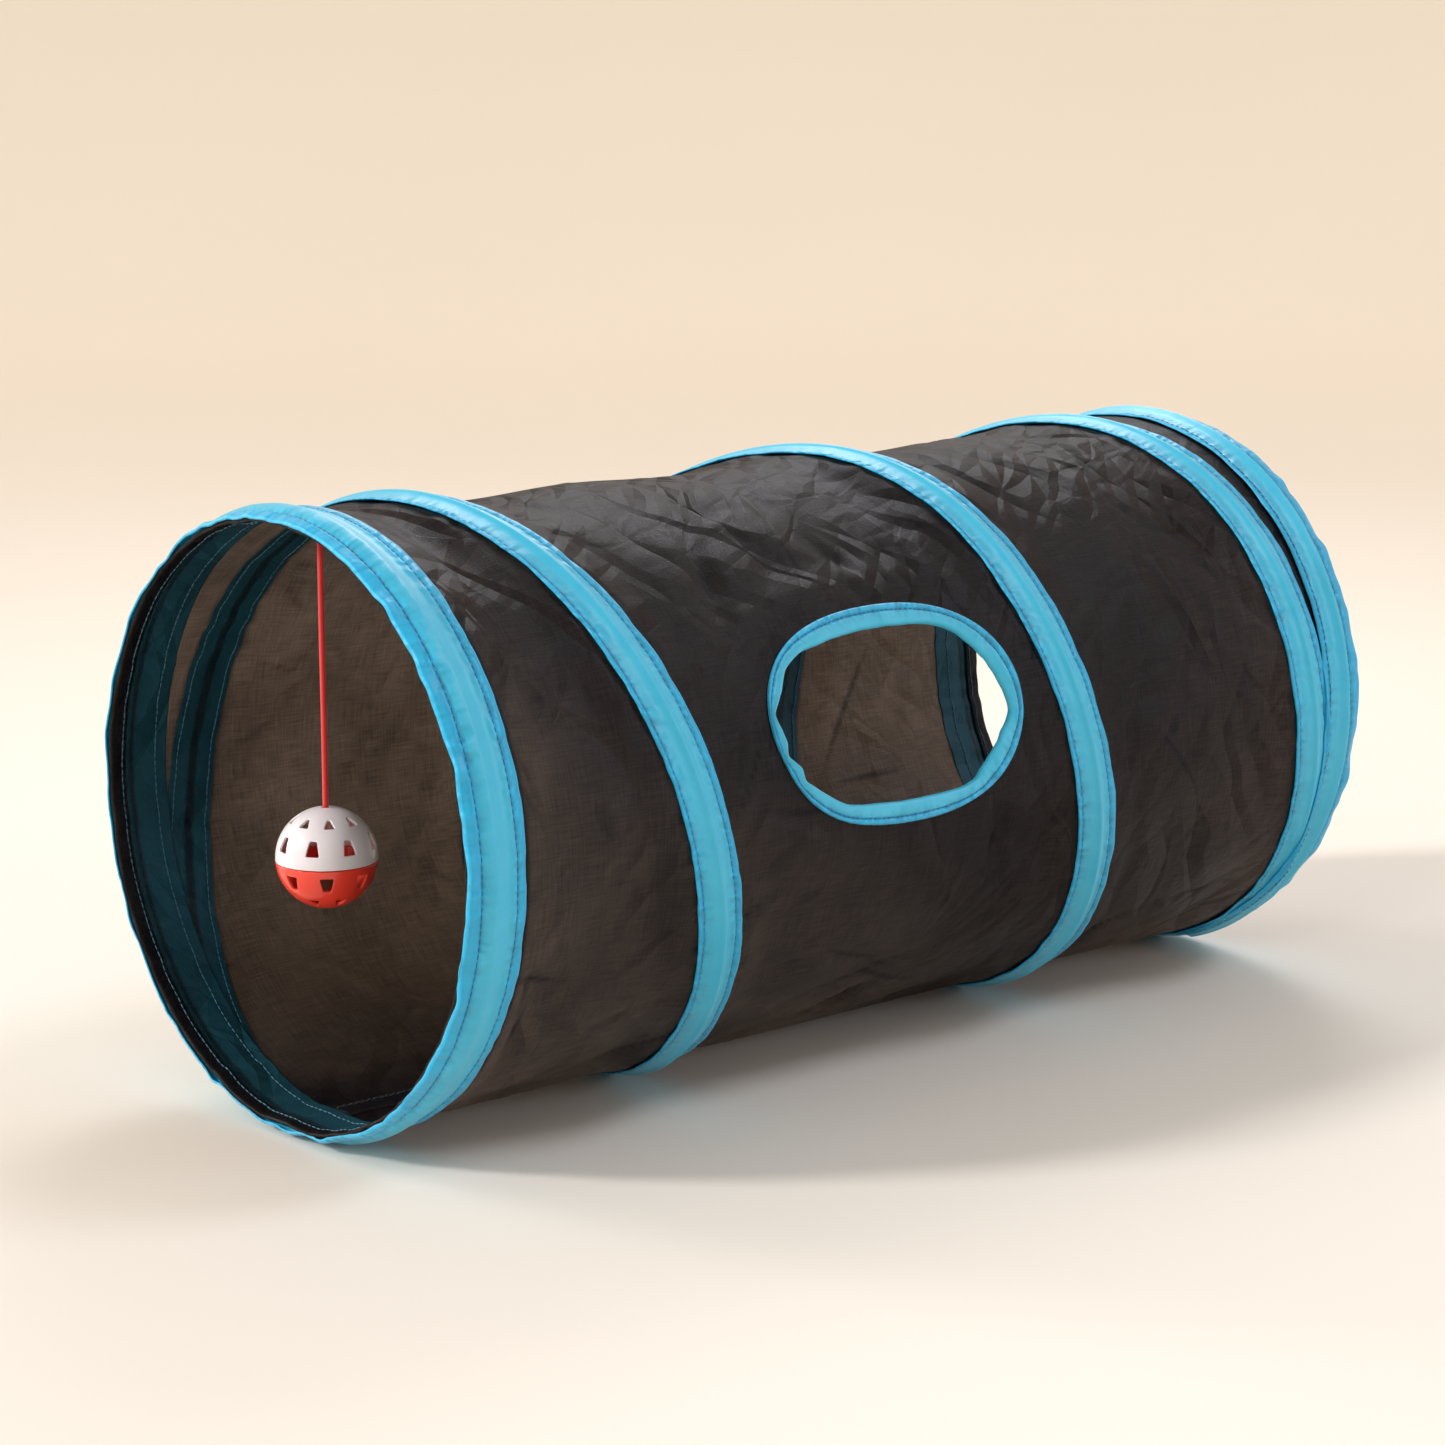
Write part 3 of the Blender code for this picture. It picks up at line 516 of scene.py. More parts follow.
def carve(obj, cutter):
    cut = obj.modifiers.new(cutter.name, "BOOLEAN")
    cut.object = cutter
    cut.solver = "EXACT"


def thicken(obj, thickness, offset=-1):
    solid = obj.modifiers.new("thickness", "SOLIDIFY")
    solid.thickness = thickness
    solid.offset = offset


def tube(name, points, radius, sides, closed=False):
    """A round mesh along points, with UVs along and round it. Open ends are domed shut."""
    points = np.array(points, float)
    tangents = np.roll(points, -1, axis=0) - np.roll(points, 1, axis=0)
    if not closed:
        tangents[0], tangents[-1] = points[1] - points[0], points[-1] - points[-2]
    tangents /= np.linalg.norm(tangents, axis=1)[:, None]
    side = np.cross(tangents[0], SLANT)
    turns = TURN * np.arange(sides) / sides
    rings = []
    for tangent, point in zip(tangents, points):
        side = side - tangent * side.dot(tangent)
        side /= np.linalg.norm(side)
        other = np.cross(tangent, side)
        rings.append(point + radius * (np.cos(turns)[:, None] * side + np.sin(turns)[:, None] * other))
    length = np.concatenate(([0], np.cumsum(np.linalg.norm(np.diff(points, axis=0), axis=1))))
    if not closed:
        tips = [points[end] + (rings[end] - points[end]) * TIP for end in (0, -1)]
        rings = [tips[0]] + rings + [tips[1]]
        length = np.concatenate(([0], length, length[-1:]))
    rings = np.array(rings)
    rings = np.concatenate((rings, rings[:, :1]), axis=1)
    along = np.append(length, length[-1] + length[1]) if closed else length
    mesh = woven(name, rings, along, np.arange(sides + 1) / sides, closed)
    seal(mesh)
    mesh.shade_smooth()
    return mesh


def turned(name, profile, steps, centre=(0, 0, 0)):
    """A solid turned about a vertical line from a closed profile of (radius, height) points."""
    form = bmesh.new()
    points = [form.verts.new((radius, 0, height)) for radius, height in profile]
    edges = [form.edges.new(pair) for pair in zip(points, points[1:] + points[:1])]
    bmesh.ops.spin(
        form, geom=points + edges, cent=(0, 0, 0), axis=(0, 0, 1), angle=TURN, steps=steps, use_merge=True
    )
    bmesh.ops.remove_doubles(form, verts=form.verts, dist=MERGE_DISTANCE)
    bmesh.ops.recalc_face_normals(form, faces=form.faces)
    bmesh.ops.translate(form, verts=form.verts, vec=centre)
    mesh = finished(name, form)
    mesh.shade_smooth()
    return mesh


def arc(radius, start, end, steps):
    angles = np.linspace(start, end, steps + 1)
    return [(radius * math.cos(angle), radius * math.sin(angle)) for angle in angles]


def settle(obj, body, slot, *nodes, shrinks=False):
    """Gives a finished piece its body and hides the model's nodes it stands for; slot is not used. What
    shrinks gets a mesh of its own.
    """
    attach(obj, body)
    if nodes:
        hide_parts(*nodes)
    if shrinks:
        travel = next(joint for joint in frame["joints"] if joint["name"] == "collapse")["range_m"][0]
        keep = 1 + travel / (2 * CLOTH_END)
        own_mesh(obj)
    return obj


# Node trees


class Number:
    """A number that varies over a surface. Arithmetic on it adds Math nodes."""

    def __init__(self, tree, socket):
        self.tree = tree
        self.socket = socket

    def math(self, operation, *others):
        made = self.tree.node("ShaderNodeMath", dict(enumerate((self, *others))), operation=operation)
        return Number(self.tree, made.outputs[0])

    def __add__(self, other):
        return self.math("ADD", other)

    def __sub__(self, other):
        return self.math("SUBTRACT", other)

    def __rsub__(self, other):
        return (self * -1) + other

    def __mul__(self, other):
        return self.math("MULTIPLY", other)

    def __truediv__(self, other):
        return self.math("DIVIDE", other)

    __radd__ = __add__
    __rmul__ = __mul__

    def wave(self, length):
        """1 at every whole length, -1 halfway between."""
        return (self * (TURN / length)).math("COSINE")

    def bell(self, middle, width):
        """1 at the middle, fading out over this width on both sides."""
        away = (self - middle) / width
        return (away * away * -1).math("EXPONENT")

    def over(self, low, high):
        """0 below low and 1 above high, smooth between."""
        values = {"Value": self, "From Min": low, "From Max": high}
        made = self.tree.node("ShaderNodeMapRange", values, interpolation_type="SMOOTHSTEP")
        return Number(self.tree, made.outputs["Result"])


class Tree:
    """A node tree. node() adds any node, its settings first and then its values and links."""

    def __init__(self, tree):
        self.tree = tree

    def node(self, kind, values=None, **settings):
        made = self.tree.nodes.new(kind)
        for name, setting in settings.items():
            setattr(made, name, setting)
        for key, value in (values or {}).items():
            self.feed(made.inputs[key], value)
        return made

    def feed(self, socket, value):
        if isinstance(value, Number):
            value = value.socket
        if isinstance(value, bpy.types.Node):
            value = value.outputs[0]
        if isinstance(value, bpy.types.NodeSocket):
            self.tree.links.new(value, socket)
        else:
            socket.default_value = value


class Finish(Tree):
    """A material on one Principled shader."""

    def __init__(self, name, roughness, **constants):
        self.material = bpy.data.materials.new(name)
        self.material.use_nodes = True
        super().__init__(self.material.node_tree)
        self.shader = self.tree.nodes["Principled BSDF"]
        self.shader.inputs["Roughness"].default_value = roughness
        for socket, value in constants.items():
            self.shader.inputs[socket.replace("_", " ")].default_value = value

    def across(self):
        """The UV map's two numbers, in metres: along a piece and across it."""
        uv = self.node("ShaderNodeUVMap", uv_map="UVMap")
        parts = self.node("ShaderNodeSeparateXYZ", {0: uv})
        return Number(self, parts.outputs[0]), Number(self, parts.outputs[1])

    def places(self):
        return self.node("ShaderNodeTexCoord").outputs["Object"]

    def stretch(self, one, other):
        """Coordinates from two numbers, for a pattern that follows the cloth."""
        return self.node("ShaderNodeCombineXYZ", {0: one, 1: other}).outputs[0]

    def noise(self, vector, scale, detail):
        values = {"Vector": vector, "Scale": scale, "Detail": detail}
        return Number(self, self.node("ShaderNodeTexNoise", values).outputs[0])

    def attribute(self, name):
        return Number(self, self.node("ShaderNodeAttribute", attribute_name=name).outputs["Fac"])

    def mix(self, factor, one, other):
        """A colour between two, which are a colour or a socket."""
        one, other = [(*c, 1) if not isinstance(c, bpy.types.NodeSocket) else c for c in (one, other)]
        made = self.node("ShaderNodeMix", {0: factor, 6: one, 7: other}, data_type="RGBA")
        return made.outputs[2]

    def shade(self, colour, share):
        """A colour made lighter or darker by a number that varies round 1."""
        grey = self.node("ShaderNodeCombineXYZ", {0: share, 1: share, 2: share}).outputs[0]
        made = self.node("ShaderNodeVectorMath", {1: grey}, operation="MULTIPLY")
        self.feed(made.inputs[0], colour if isinstance(colour, bpy.types.NodeSocket) else tuple(colour))
        return made.outputs[0]

    def paint(self, colour):
        self.feed(self.shader.inputs["Base Color"], colour)

    def relief(self, height):
        """Bumps of this height in metres."""
        made = self.node("ShaderNodeBump", {"Strength": 1.0, "Distance": 1.0, "Height": height})
        self.feed(self.shader.inputs["Normal"], made)
        return made


# Materials. A noise is (coordinates in metres, features per metre, detail).


def tape_finish(name, rows, width):
    """Woven tape, paler where it is single, with painted shade along its stitch rows, a painted highlight
    along its edges and painted light and shade on its gathers. rows are its stitch rows' places across it.
    """
    tone = colours()
    finish = Finish(name, 0.42, Sheen_Weight=0.15, Sheen_Roughness=0.4, Specular_IOR_Level=0.6)
    along, across = finish.across()
    low, high = rows
    fold = 0.0018
    single = across.over(low, low + fold) * (1 - across.over(high - fold, high))
    cloudy = finish.noise(finish.stretch(along, across * 0.4), 95, 3)
    fine = finish.noise(finish.stretch(along * 0.5, across * 3), 900, 2)
    mixed = finish.mix(single * (cloudy * 0.7 + 0.45), tone.tape_edge, tone.tape)
    near = across.bell(low, 0.0034) + across.bell(high, 0.0034) + across.bell(0, 0.003) * 0.6
    # The gathers are bumps, and near the stitch rows and the rim they also paint light and shade into the
    # colour.
    gathers = finish.noise(finish.stretch(along, across * 0.30), 190, 1)
    # Painted shade in the valleys along the stitch rows.
    seam_shade = across.bell(low, 0.0004) + across.bell(high, 0.0004)
    # A painted highlight along the tape's folded edges.
    pale = across.bell(0.0002, 0.0004) + across.bell(width - 0.0002, 0.0004)
    # Random weave tone, with the painted seam shade, the painted edge highlight and the painted light and
    # shade of the gathers.
    tone_and_shade = (1 - seam_shade * 0.28) * (fine * 0.14 + 0.93) + pale * 0.30 + (gathers - 0.5) * near * 0.75
    finish.paint(finish.shade(mixed, tone_and_shade))
    pitch = sizes().stitch_pitch
    dimple = (across.bell(low, 0.0008) + across.bell(high, 0.0008)) * (along.wave(pitch) * 0.35 + 0.65)
    yarn = 0.00045
    weave = along.wave(yarn) * across.wave(yarn)
    ribs = across.wave(2 * yarn)
    finish.relief(gathers * near * 0.0036 - dimple * 0.00030 + weave * 0.000010 + ribs * 0.000006)
    return finish.material


def cloth_finish(name, painted_glow_mask):
    """Thin black polyester. Some light comes through it, but little where tape lies behind. There its colour
    is painted with the teal glow of light through the tape, and painted shade darkens the light through it
    along creases.
    """
    tone = colours()
    finish = Finish(name, 0.40, Specular_IOR_Level=0.20)
    along, across = finish.across()
    behind = painted_glow_mask(finish)
    slubs = finish.noise(finish.stretch(along * 12, across * 0.6), 120, 2)
    threads = finish.noise(finish.stretch(along * 0.6, across * 12), 120, 2)
    cloudy = finish.noise(finish.stretch(along, across), 22, 3)
    share = (slubs + threads) * 0.3 + cloudy * 0.7 + 0.35
    dark = finish.shade(tone.cloth, share)
    # Where tape lies behind, the cloth is painted with the teal glow of light through the tape.
    finish.paint(finish.mix(behind, dark, finish.shade(tone.painted_tape_glow, share)))
    speckle = finish.noise(finish.stretch(along, across), 1300, 2)
    finish.feed(finish.shader.inputs["Roughness"], speckle * 0.40 + 0.26)
    height = (slubs + threads) * 0.00006 + speckle * 0.00022
    for lean, length, width, depth in CRINKLES:
        height += crinkle(finish, along, across, lean, length, width) * depth
    bumps = finish.relief(height)
    glow = finish.node("ShaderNodeBsdfTranslucent")
    finish.feed(glow.inputs["Normal"], bumps)
    # Painted shade along the creases, partly for cloth folded double: the light through the cloth is darker
    # there.
    fold_shading = 1 - finish.attribute("crease").over(0.05, 1.0) * 0.45
    lit = finish.shade(tone.cloth_glow, fold_shading * ((slubs + threads) * 0.8 + 0.2 + (cloudy - 0.5) * 0.6))
    finish.feed(glow.inputs["Color"], finish.mix(behind, lit, tone.painted_tape_glow))
    mixer = finish.node("ShaderNodeMixShader")
    finish.feed(mixer.inputs[0], GLOW_SHARE)
    finish.feed(mixer.inputs[1], finish.shader)
    finish.feed(mixer.inputs[2], glow)
    output = next(n for n in finish.tree.nodes if n.type == "OUTPUT_MATERIAL")
    finish.feed(output.inputs["Surface"], mixer)
    return finish.material


def crinkle(finish, along, across, lean, length, width):
    """Flat facets between sharp creases that lean this far, in patches. Cells are this long and wide."""
    bend = finish.noise(finish.stretch(along, across), 9 + lean, 2)
    u = (along * math.cos(lean) + across * math.sin(lean)) / length + bend * 1.3
    v = (across * math.cos(lean) - along * math.sin(lean)) / width + bend * 2.1
    values = {"Vector": finish.stretch(u, v), "Scale": 1.0, "Randomness": 1.0}
    cells = finish.node("ShaderNodeTexVoronoi", values, feature="DISTANCE_TO_EDGE")
    facets = Number(finish, cells.outputs["Distance"]).math("MINIMUM", 0.30)
    patches = finish.noise(finish.stretch(across, along), 12 + lean * 3, 1).over(0.34, 0.60)
    return facets * (patches * 0.85 + 0.15)


# Where the spiral tape lies behind the cloth: the painted teal glow of light through it, with painted shade
# of the wire down its middle.
def painted_spiral_glow(finish):
    away = finish.attribute("from_spiral")
    strip = 1 - away.over(SPIRAL_BAND_WIDTH / 2 - 0.0008, SPIRAL_BAND_WIDTH / 2)
    wire_shadow = 1 - away.over(WIRE_DIAMETER / 2, 0.0032)
    return strip * (1 - wire_shadow * 0.75)


# Where a mouth band lies behind the hem: the painted teal glow of light through it, with painted shade of the
# ring's wire.
def painted_band_glow(finish):
    _, across = finish.across()
    strip = across.over(HEM_WIDTH - 0.0006, HEM_WIDTH + 0.0004)
    wire_shadow = across.bell(RING_PLACE, 0.0014)
    return strip * (1 - wire_shadow * 0.75)


# A faint random share of the painted tape glow, for cloth with no tape behind.
def plain_cloth(finish):
    return finish.noise(finish.places(), 300, 1) * 0.05


def thread_finish(name, colour):
    finish = Finish(name, 0.55, Sheen_Weight=0.3)
    twist = finish.noise(finish.places(), 4200, 1)
    finish.paint(finish.shade(colour, twist * 0.5 + 0.75))
    finish.relief(twist * 0.00003)
    return finish.material


def cord_finish(name, colour, radius):
    """A round braid: two sets of strands that cross, with painted shade in the grooves between them."""
    finish = Finish(name, 0.55, Sheen_Weight=0.35)
    along, around = finish.across()
    lay = 0.0030
    right = (along + around * lay).wave(lay / 4)
    left = (along - around * lay).wave(lay / 4)
    strands = right.math("MAXIMUM", left)
    # Painted shade: the braid is darker in the grooves between its strands.
    finish.paint(finish.shade(colour, strands * 0.16 + 0.92))
    finish.relief(strands * (radius * 0.05))
    return finish.material


def plastic_finish(name, colour, roughness):
    """Glossy moulded plastic that lets a little light into it."""
    finish = Finish(name, roughness, Coat_Weight=0.25, Coat_Roughness=0.12, IOR=1.5)
    finish.shader.inputs["Subsurface Weight"].default_value = 0.12
    finish.shader.inputs["Subsurface Radius"].default_value = (0.0020, 0.0012, 0.0010)
    finish.shader.inputs["Subsurface Scale"].default_value = 1
    cloudy = finish.noise(finish.places(), 120, 3)
    finish.paint(finish.shade(colour, cloudy * 0.08 + 0.96))
    finish.feed(finish.shader.inputs["Roughness"], cloudy * 0.12 + (roughness - 0.06))
    finish.relief(finish.noise(finish.places(), 700, 2) * 0.000018)
    return finish.material


def metal_finish(name, colour, roughness):
    finish = Finish(name, roughness, Metallic=1.0)
    marks = finish.noise(finish.places(), 900, 4)
    finish.paint(finish.shade(colour, marks * 0.5 + 0.75))
    finish.feed(finish.shader.inputs["Roughness"], marks * 0.25 + (roughness - 0.12))
    finish.relief(marks * 0.00001)
    return finish.material


def paper_finish(name):
    tone = colours()
    finish = Finish(name, 0.85)
    parts = finish.node("ShaderNodeSeparateXYZ", {0: finish.places()}).outputs
    along, aside = Number(finish, parts[0]), Number(finish, parts[1])
    away = along * CAMERA_AIM[0] + aside * CAMERA_AIM[1]
    # The paper turns from the floor's colour to the darker backdrop colour away from the camera: painted
    # shade where less light reaches the far paper.
    paper = finish.mix(away.over(0.0, 2.4), tone.floor, tone.backdrop)
    finish.paint(finish.shade(paper, finish.noise(finish.places(), 2.5, 2) * 0.03 + 0.985))
    finish.relief(finish.noise(finish.places(), 350, 2) * 0.00004)
    return finish.material


# Geometry nodes


def new_tree(name, inputs):
    """A geometry tree that takes a mesh and the named inputs, each (socket type, default)."""
    group = bpy.data.node_groups.new(name, "GeometryNodeTree")
    group.interface.new_socket("Geometry", in_out="INPUT", socket_type="NodeSocketGeometry")
    group.interface.new_socket("Geometry", in_out="OUTPUT", socket_type="NodeSocketGeometry")
    for label, (kind, default) in inputs.items():
        socket = group.interface.new_socket(label, in_out="INPUT", socket_type=kind)
        if default is not None:
            socket.default_value = default
    tree = Tree(group)
    return tree, tree.node("NodeGroupInput").outputs


def end_tree(tree, shape, material):
    real = tree.node("GeometryNodeRealizeInstances", {0: shape})
    shaded = tree.node("GeometryNodeSetShadeSmooth", {0: real})
    painted = tree.node("GeometryNodeSetMaterial", {0: shaded, "Material": material})
    tree.node("NodeGroupOutput", {0: painted})
    return tree.tree


def stitch_tree():
    """A short thread at every pitch along each line, turned to follow it."""
    inputs = {
        "Pitch": ("NodeSocketFloat", 0.003),
        "Length": ("NodeSocketFloat", 0.0022),
        "Thread": ("NodeSocketFloat", 0.0004),
        "Seed": ("NodeSocketInt", 7),
        "Material": ("NodeSocketMaterial", None),
    }
    tree, given = new_tree("stitch rows", inputs)
    lines = tree.node("GeometryNodeMeshToCurve", {0: given["Geometry"]})
    values = {"Curve": lines, "Length": given["Pitch"]}
    spaced = tree.node("GeometryNodeResampleCurve", values, mode="LENGTH")
    bead = tree.node("GeometryNodeMeshUVSphere", {"Segments": 6, "Rings": 5, "Radius": 0.5})
    form = tree.node("ShaderNodeCombineXYZ", {0: given["Length"], 1: given["Thread"], 2: given["Thread"]})
    thread = tree.node("GeometryNodeTransform", {"Geometry": bead, "Scale": form})
    tangent = tree.node("GeometryNodeInputTangent")
    turn = tree.node("FunctionNodeAlignRotationToVector", {"Vector": tangent}, axis="X")
    shortest, longest = STITCH_STRETCH
    values = {2: shortest, 3: longest, "Seed": given["Seed"]}
    stretch = tree.node("FunctionNodeRandomValue", values, data_type="FLOAT")
    values = {"Points": spaced, "Instance": thread}
    values |= {"Rotation": turn, "Scale": stretch.outputs[1]}
    stitches = tree.node("GeometryNodeInstanceOnPoints", values)
    return end_tree(tree, stitches, given["Material"])


def wire_tree():
    """A round wire along each line, with closed ends."""
    inputs = {
        "Radius": ("NodeSocketFloat", 0.001),
        "Sides": ("NodeSocketInt", 12),
        "Material": ("NodeSocketMaterial", None),
    }
    tree, given = new_tree("round wire", inputs)
    lines = tree.node("GeometryNodeMeshToCurve", {0: given["Geometry"]})
    values = {"Resolution": given["Sides"], "Radius": given["Radius"]}
    section = tree.node("GeometryNodeCurvePrimitiveCircle", values)
    values = {"Curve": lines, "Profile Curve": section, "Fill Caps": True}
    wire = tree.node("GeometryNodeCurveToMesh", values)
    return end_tree(tree, wire, given["Material"])


def grown(name, lines, tree, values):
    """The plain mesh that a geometry tree makes along these lines."""
    guide = bpy.data.objects.new(name + "_lines", lines)
    bpy.context.collection.objects.link(guide)
    modifier = guide.modifiers.new("nodes", "NODES")
    modifier.node_group = tree
    for item in tree.interface.items_tree:
        if item.in_out == "INPUT" and item.name in values:
            modifier[item.identifier] = values[item.name]
    mesh = baked(guide)
    bpy.data.objects.remove(guide)
    mesh.name = name
    return add_object(name, mesh)


def sew(name, rows, closed, material, lockstitch=False, pitch_share=1.0):
    """Stitches along rows of points. On the inside they touch, because the lower thread lies straight."""
    size = sizes()
    values = {
        "Pitch": size.stitch_pitch * pitch_share,
        "Length": (size.stitch_pitch if lockstitch else size.stitch_length) * pitch_share,
        "Thread": size.thread_diameter,
        "Seed": len(rows),
        "Material": material,
    }
    tree = bpy.data.node_groups.get("stitch rows") or stitch_tree()
    return grown(name, line_mesh(name, rows, closed), tree, values)


# Tape and cloth surfaces


def spiral_height(angle, away):
    """Height of the spiral tape's underside this far from its wire, with puckers. away has a sign."""
    share = angle / (TURN * SPIRAL_TURNS)
    upper = away > 0
    past_row = smooth((np.abs(away) - SPIRAL_ROW) / (SPIRAL_BAND_WIDTH / 2 - SPIRAL_ROW))
    near_row = np.exp(-np.abs(np.abs(away) - SPIRAL_ROW) / PUCKER_REACH)
    lift = np.where(upper, wander(share, 250, 40), wander(share, 250, 50))
    pucker = np.where(upper, wander(share, 410, 41), wander(share, 410, 51))
    height = through(SPIRAL_PROFILE, np.abs(away))
    height = height + past_row * EDGE_LIFT * (0.5 + 0.5 * lift) + near_row * SEAM_PUCKER * pucker
    return np.maximum(height, LAYER_GAP / 2)


def edge_ripple(share, knots, fine_knots, seed):
    """How far a tape's edge wanders from straight, in kinks and finer waves."""
    return EDGE_RIPPLE * (0.7 * wander(share, knots, seed, True) + 0.4 * wander(share, fine_knots, seed + 1))


def spiral_surface(angle, away, rise):
    """Points of the spiral tape, this far from its wire and this far above its underside."""
    past_row = np.clip(np.abs(away) - SPIRAL_ROW, 0, None) / (SPIRAL_BAND_WIDTH / 2 - SPIRAL_ROW)
    share = angle / (TURN * SPIRAL_TURNS)
    ripple = np.where(away > 0, edge_ripple(share, 190, 510, 60), edge_ripple(share, 190, 510, 70))
    x = spiral_x(angle) + away + ripple * past_row
    return on_tube(x, angle, CLOTH_RADIUS + spiral_height(angle, away) + rise)


def rim_scallops(side, angle):
    """How far the rim's soft edge lies inside its straight line: kinked scallops."""
    share = angle / TURN
    coarse = wander(share, 35, RIM_SEEDS[side], True)
    return RIM_SCALLOP * (0.5 + 0.38 * coarse + 0.12 * wander(share, 90, RIM_SEEDS[side] + 5, True))


def mouth_rows(side):
    return MOUTH_ROW, MOUTH_WIDTHS[side] - EDGE_TO_ROW


def mouth_height(side, angle, from_rim):
    """Height of a mouth band's underside, over its ring's wire and over the spiral tape under it."""
    share = angle / TURN
    seed = BAND_SEEDS[side]
    low, high = mouth_rows(side)
    width = MOUTH_WIDTHS[side]
    stretch = (MOUTH_PROFILE[-1][0] - RIDGE_END) / (width - RIDGE_END)
    past_ridge = np.maximum(from_rim - RIDGE_END, 0)
    height = through(MOUTH_PROFILE, from_rim + past_ridge * (stretch - 1))
    at_rim = smooth(1 - from_rim / low)
    flap = smooth((from_rim - high) / (width - high))
    flare = wander(share, 58, seed) * 0.8 + wander(share, 121, seed + 1) * 0.4
    height = height + at_rim * RIM_FLARE * flare
    height = height + flap * EDGE_LIFT * (0.5 + 0.5 * wander(share, 83, seed + 2))
    for row, shift in ((low, 3), (high, 4)):
        near_row = np.exp(-np.abs(from_rim - row) / PUCKER_REACH)
        height = height + near_row * SEAM_PUCKER * wander(share, 137, seed + shift)
    tucked = smooth((BAND_TUCK + TUCK_FADE - (width - from_rim)) / TUCK_FADE)
    for turn in range(math.ceil(SPIRAL_TURNS)):
        along = angle % TURN + TURN * turn
        away = np.abs((RIM - from_rim) - side * spiral_x(along))
        over = through(SPIRAL_PROFILE, away) + sizes().tape_thickness + LAYER_GAP
        beside = (SPIRAL_BAND_WIDTH / 2 + CROSSING_FADE - away) / CROSSING_FADE
        inside = (beside > 0) & (along <= TURN * SPIRAL_TURNS)
        cover = smooth(beside) * np.where(away < CREST_REACH, 1, tucked)
        height = np.where(inside, np.maximum(height, over * cover), height)
    return np.maximum(height, LAYER_GAP / 2 - RIM_DROP * at_rim)


def mouth_surface(side, angle, from_rim, rise):
    """Points of a mouth band, this far from the rim and this far above its underside."""
    low, high = mouth_rows(side)
    rim_shift = np.clip(1 - from_rim / low, 0, 1) * rim_scallops(side, angle)
    flap = np.clip((from_rim - high) / (MOUTH_WIDTHS[side] - high), 0, 1)
    flap_shift = flap * edge_ripple(angle / TURN, 60, 171, RIM_SEEDS[side] + 1)
    x = side * (RIM - np.maximum(from_rim + rim_shift + flap_shift, -RIM_TUCK))
    return on_tube(x, angle, CLOTH_RADIUS + mouth_height(side, angle, from_rim) + rise)


def creases(x, angle):
    """How deep and how near a crease; the nearness darkens the light through the cloth, partly for cloth
    folded double and partly as painted shade. Each runs straight, fades at its ends and is steeper on one
    side.
    """
    chance = np.random.default_rng(CREASE_SEED)
    total = np.zeros(np.broadcast(x, angle).shape)
    lines = np.zeros_like(total)
    around = TURN * CLOTH_RADIUS
    deepest = sizes().crease_depth
    for count, length, width, depth in CREASES:
        for _ in range(count):
            centre_x, centre_a = chance.uniform(-CLOTH_END, CLOTH_END), chance.uniform(0, around)
            lean, bow = chance.uniform(0, math.pi), chance.normal(0, CREASE_BOW)
            half, wide = length * chance.uniform(*CREASE_LENGTHS), width * chance.uniform(*CREASE_WIDTHS)
            deep = deepest * depth * chance.uniform(*CREASE_DEPTHS) * chance.choice(CREASE_SIGNS)
            steep = chance.uniform(*CREASE_STEEPS)
            across = (angle * CLOTH_RADIUS - centre_a + around / 2) % around - around / 2
            t = ((x - centre_x) * math.cos(lean) + across * math.sin(lean)) / half
            n = (across * math.cos(lean) - (x - centre_x) * math.sin(lean)) / wide + bow * t * t
            ridge = np.where(n > 0, 1 - n / (1 - steep), 1 + n / steep)
            fade = np.clip(1 - t * t, 0, 1) ** 2
            total += deep * np.clip(ridge, 0, 1) ** CREASE_POWER * fade
            lines = np.maximum(lines, depth * fade * np.exp(-((n * wide / CREASE_SHADE_WIDTH) ** 2)))
    return total, lines


def drawn_in(x, angle):
    """How far the cloth lies inside its round: waists between bands, leaning folds, gathers and creases."""
    from_mouth = RIM - np.where(x < 0, MOUTH_WIDTHS[-1], MOUTH_WIDTHS[1]) - np.abs(x)
    from_tape = from_mouth
    for middle in spiral_passes(angle):
        from_tape = np.minimum(from_tape, np.abs(x - middle) - SPIRAL_BAND_WIDTH / 2)
    slack = smooth(from_tape / WAIST_RUN) * smooth(from_bottom(angle) / FLAT_ANGLE - 2)
    calm = smooth((hole_reach(x, angle) - CALM_CLOTH_SHARE) / (CALM_CLOTH_SHARE - 1))
    fold = 0.5 + 0.5 * np.cos(FOLDS_AROUND * angle + TURN * x / FOLD_LEAN)
    free = past(from_tape, TAPE_MARGIN) * past(from_mouth, MOUTH_MARGIN)
    near_hole = past(hole_reach(x, angle), HOLE_MARGIN)
    gather = GATHER_DEPTH * np.exp(-np.maximum(from_tape, 0) / GATHER_REACH) * wander(angle / TURN, *GATHERS)
    crumpled = near_hole * (free * creases(x, angle)[0] + smooth(from_mouth / MOUTH_MARGIN[1]) * gather)
    standing = smooth(from_bottom(angle) / FLAT_ANGLE - 0.9)
    crumpled = np.where(crumpled < 0, crumpled * standing, crumpled)
    return slack * calm * (WAIST_DEPTH + FOLD_DEPTH * fold) + crumpled


def cloth_point(x, angle, inwards=0.0):
    return on_tube(x, angle, CLOTH_RADIUS - drawn_in(x, angle) - inwards)


def signed_power(value, power):
    return np.sign(value) * np.abs(value) ** power


def hole_line(turn, grow):
    """The place along X and the angle of the opening's outline, this far outside the cloth's cut edge."""
    along, round_wall = signed_power(np.cos(turn), 2 / HOLE_POWER), signed_power(np.sin(turn), 2 / HOLE_POWER)
    x = HOLE_X + along * (HOLE_LENGTH / 2 + grow)
    return x, HOLE_ANGLE + round_wall * (HOLE_HEIGHT / 2 + grow) / CLOTH_RADIUS


